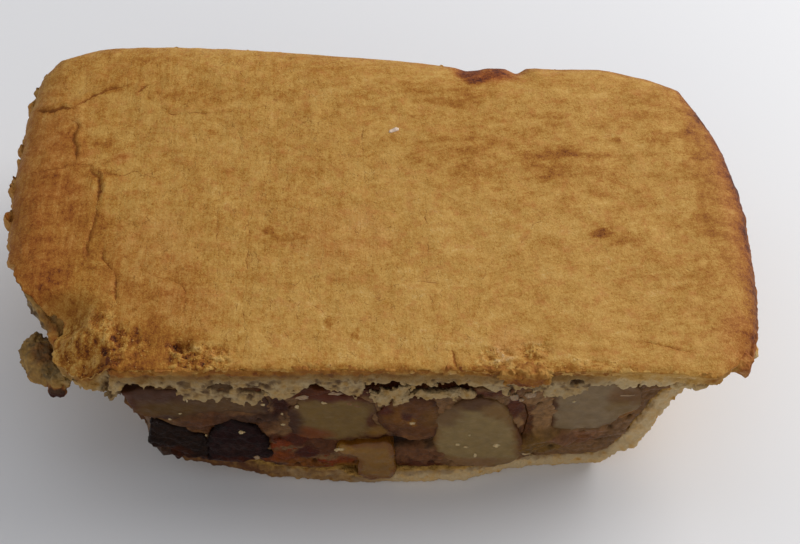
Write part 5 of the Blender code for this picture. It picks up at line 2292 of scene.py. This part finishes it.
@dataclass
class Scatter:
    """Crumbs scattered on a finished piece. The name is the one of a single crumb."""

    name: str
    per_cm2: float
    smallest: float
    largest: float
    seed: int

    def build(
        self,
        ground: Object,
        mask: Array,
        trees: ShapeTrees,
        material: Material,
    ) -> Object:
        """Scatter them.

        Args:
            ground: the piece they lie on.
            mask: how thickly they lie at each of its points.
            trees: the Geometry Nodes trees.
            material: what they are dressed in.

        Returns:
            The crumbs, as one plain mesh.
        """
        thing = linked(f"{self.name}s", ground.data.copy())
        set_layer(thing, "crumb_mask", mask)
        values = {
            "Mask": "crumb_mask",
            "Crumbs per cm2": self.per_cm2,
            "Smallest": self.smallest,
            "Largest": self.largest,
            "Seed": self.seed,
            "Material": material,
        }
        trees.apply(thing, trees.crumbs, values)
        made = plain_copy(thing, f"{self.name}s")
        made.data.shade_smooth()
        return made


@dataclass
class Studio:
    """The pale floor, the soft light and the camera."""

    target: tuple = (4.35, 19.85, 36.4)
    distance: float = 250.0
    elevation: float = 53.0
    lens: float = 67.5
    sensor: float = 36.0
    room: float = 0.4
    floor_reach: float = 1.5

    def build(self) -> None:
        """Set the stage."""
        self.floor()
        self.lights()
        self.camera()
        scene = bpy.context.scene
        scene.view_settings.view_transform = "Standard"
        scene.view_settings.look = "None"

    def floor(self) -> None:
        """A pale floor under the slice."""
        mesh = bpy.data.meshes.new("floor")
        reach = self.floor_reach
        corners = [(-reach, -reach, 0), (reach, -reach, 0), (reach, reach, 0), (-reach, reach, 0)]
        mesh.from_pydata(corners, [], [(0, 1, 2, 3)])
        floor = linked("floor", mesh)
        mesh.materials.append(PlainFinish(
            "floor", colour=(226, 226, 229), roughness=0.6, variation=0.0,
        ).build())

    def lights(self) -> None:
        """Wide soft lights behind on the right and overhead, a weak warm one in front and a dim room."""
        self.area((0.52, 0.36, 0.42), (0.0, 0.01, 0.02), (0.7, 0.5), 5.4, (1.0, 0.985, 0.955))
        self.area((0.0, 0.12, 0.6), (0.0, 0.05, 0.02), (0.9, 0.22), 0.5, (0.94, 0.97, 1.0))
        self.area((-0.1, -0.6, 0.35), (0.0, 0.0, 0.02), (0.5, 0.4), 0.5, (1.0, 0.84, 0.6))
        world = bpy.data.worlds.new("room")
        world.use_nodes = True
        ground = world.node_tree.nodes["Background"]
        ground.inputs["Color"].default_value = (0.92, 0.95, 1.0, 1)
        ground.inputs["Strength"].default_value = self.room
        bpy.context.scene.world = world

    def area(self, place: tuple, aim: tuple, size: tuple, power: float, colour: tuple) -> None:
        """One rectangular light, in the frame's metres."""
        light = bpy.data.lights.new("soft_light", "AREA")
        light.shape = "RECTANGLE"
        light.size, light.size_y = size
        light.energy = power
        light.color = colour
        lamp = linked("soft_light", light)
        lamp.location = place
        lamp.rotation_euler = self.facing(place, aim)

    def facing(self, place: tuple, aim: tuple) -> Euler:
        """Turn of a lamp or camera at place that looks at aim."""
        return (Vector(aim) - Vector(place)).to_track_quat("-Z", "Y").to_euler()

    def camera(self) -> None:
        """The camera, at the height and distance that the slice was seen from."""
        lens = bpy.data.cameras.new("camera")
        lens.lens = self.lens
        lens.sensor_width = self.sensor
        lens.clip_start = MM
        lens.dof.use_dof = False
        camera = linked("camera", lens)
        tilt = math.radians(self.elevation)
        back = self.distance * np.array((0.0, -math.cos(tilt), math.sin(tilt)))
        camera.location = to_frame(np.array(self.target) + back)
        camera.rotation_euler = (math.pi / 2 - tilt, 0, 0)
        bpy.context.scene.camera = camera


@dataclass
class MeatAndPotatoSlice:
    """The whole slice: every piece built, dressed and put on its body."""

    trees: ShapeTrees = field(default_factory=ShapeTrees)
    effects: SharedEffects = field(default_factory=SharedEffects)
    form: LidForm = field(default_factory=LidForm)

    def build(self) -> None:
        """Build the pieces in order."""
        skin = self.build_lid()
        base = BaseCrust().build(self.trees, PastryFinish("base_pastry").build(self.effects))
        self.place(base, "base_pastry", "base_crust")
        lump = RIM_LUMP.build(PastryFinish(
            "lump_pastry", grain=0.6, depth=0.3, spread=0.22, stain=(104, 86, 58),
        ).build(self.effects))
        self.place(lump, "base_pastry", "rim_lump")
        mince = MoistFinish(
            "mince", wet=0.3, dry=0.6, mottle_size=1.0, mottle=0.3, grain=0.45, depth=0.22,
        ).build(self.effects)
        filling = Filling().build(self.trees, mince)
        self.place(filling, "filling", "filling")
        morsels = self.build_morsels()
        self.build_details(skin, [filling, *morsels])

    def build_lid(self) -> Object:
        """The lid's skin, its crumb and the broken bits that belong to it."""
        skin = LidSkin(self.form).build(LidSkinFinish().build(self.effects))
        self.place(skin, "lid_pastry", "lid")
        pastry = PastryFinish("lid_crumb", stain=(92, 68, 44)).build(self.effects)
        crumb = LidCrumb(self.form)
        for name, window in (
            ("lid_crumb_cut", Window((-46.0, -1.6, 24.6), (63.0, 5.6, 36.6), 0.24)),
            ("lid_crumb_corner", Window((-66.5, -1.0, 26.6), (-38.5, 38.0, 36.6), 0.27)),
        ):
            self.place(crumb.build(name, window, pastry), "lid_pastry")
        browned = PastryFinish("flake_pastry", grain=0.35, depth=0.2, spread=0.12).build(self.effects)
        pale = PlainFinish("pale_flake", colour=(206, 182, 162), roughness=0.5, variation=0.05).build()
        for bit, dressing in ((BROKEN_FLAKE, browned), (CORNER_NUB, pastry), (PALE_FLAKE, pale)):
            self.place(bit.build(dressing), "lid_pastry")
        return skin

    def build_morsels(self) -> list:
        """The potato, meat, onion and carrot pieces."""
        pieces = []
        finishes = {
            Food.POTATO: MoistFinish(
                "potato", wet=0.35, dry=0.6, mottle_size=1.6, mottle=0.14, grain=0.5, depth=0.07,
                shine=0.14, glow=0.2, glow_colour=(1.0, 0.75, 0.4),
            ),
            Food.DARK_MEAT: MoistFinish(
                "dark_meat", wet=0.35, dry=0.6, mottle_size=0.9, mottle=0.55, grain=0.4, depth=0.25,
                shine=0.08,
            ),
            Food.MEAT: MoistFinish(
                "meat", wet=0.3, dry=0.55, mottle_size=1.2, mottle=0.25, grain=0.5, depth=0.15,
                shine=0.14, glow=0.1,
            ),
            Food.ONION: MoistFinish(
                "onion", wet=0.2, dry=0.4, mottle_size=2.0, mottle=0.15, grain=0.6, depth=0.06,
                shine=0.3, glow=0.3, glow_colour=(1.0, 0.7, 0.35),
            ),
            Food.CARROT: MoistFinish(
                "carrot", wet=0.3, dry=0.5, mottle_size=1.4, mottle=0.25, grain=0.4, depth=0.15,
                shine=0.14, glow=0.1, glow_colour=(1.0, 0.4, 0.1),
            ),
        }
        materials = {food: finish.build(self.effects) for food, finish in finishes.items()}
        for morsel in MORSELS:
            piece = morsel.build(materials[morsel.food])
            self.place(piece, morsel.food.value, morsel.node)
            pieces.append(piece)
        return pieces

    def build_details(self, skin: Object, cut_pieces: list) -> None:
        """Crumbs on the skin and bits on the cut.

        Args:
            skin: the lid's skin.
            cut_pieces: the filling and its larger pieces.
        """
        points = plan_points(skin)
        mask = np.clip(total_of(LidSkin(self.form).patches, points), 0, 1) * (points[:, 2] > 30)
        mask = np.maximum(mask, 0.25 * faded(points[:, 1], 0.8, 2.2) * (points[:, 2] > 35))
        for scatter, colour in (
            (Scatter("ivory_crumb", per_cm2=90.0, smallest=0.1, largest=0.3, seed=5), (182, 138, 70)),
            (Scatter("brown_crumb", per_cm2=60.0, smallest=0.1, largest=0.32, seed=6), (146, 92, 34)),
        ):
            dressing = PlainFinish(scatter.name, colour=colour, roughness=0.8).build()
            self.place(scatter.build(skin, mask, self.trees, dressing), "lid_pastry")
        pale = MoistFinish(
            "pale_bit", wet=0.4, dry=0.6, mottle_size=0.5, mottle=0.2, grain=0.3, depth=0.05,
            shine=0.2, glow=0.3,
        ).build(self.effects)
        for bits in (PALE_BITS, FAT_BITS):
            self.place(bits.build(cut_pieces, pale), "filling")

    def place(self, piece: Object, slot: str, node: str | None = None) -> None:
        """Put a finished piece on its body and hide the node that it stands for."""
        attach(piece, "root")
        if node is not None:
            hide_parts(node)
        log.info("%s: %d faces", piece.name, len(piece.data.polygons))


def main() -> None:
    """Build the slice and its stage."""
    logging.basicConfig(level=logging.INFO, format="%(message)s")
    MeatAndPotatoSlice().build()
    Studio().build()


if __name__ == "__main__":
    main()
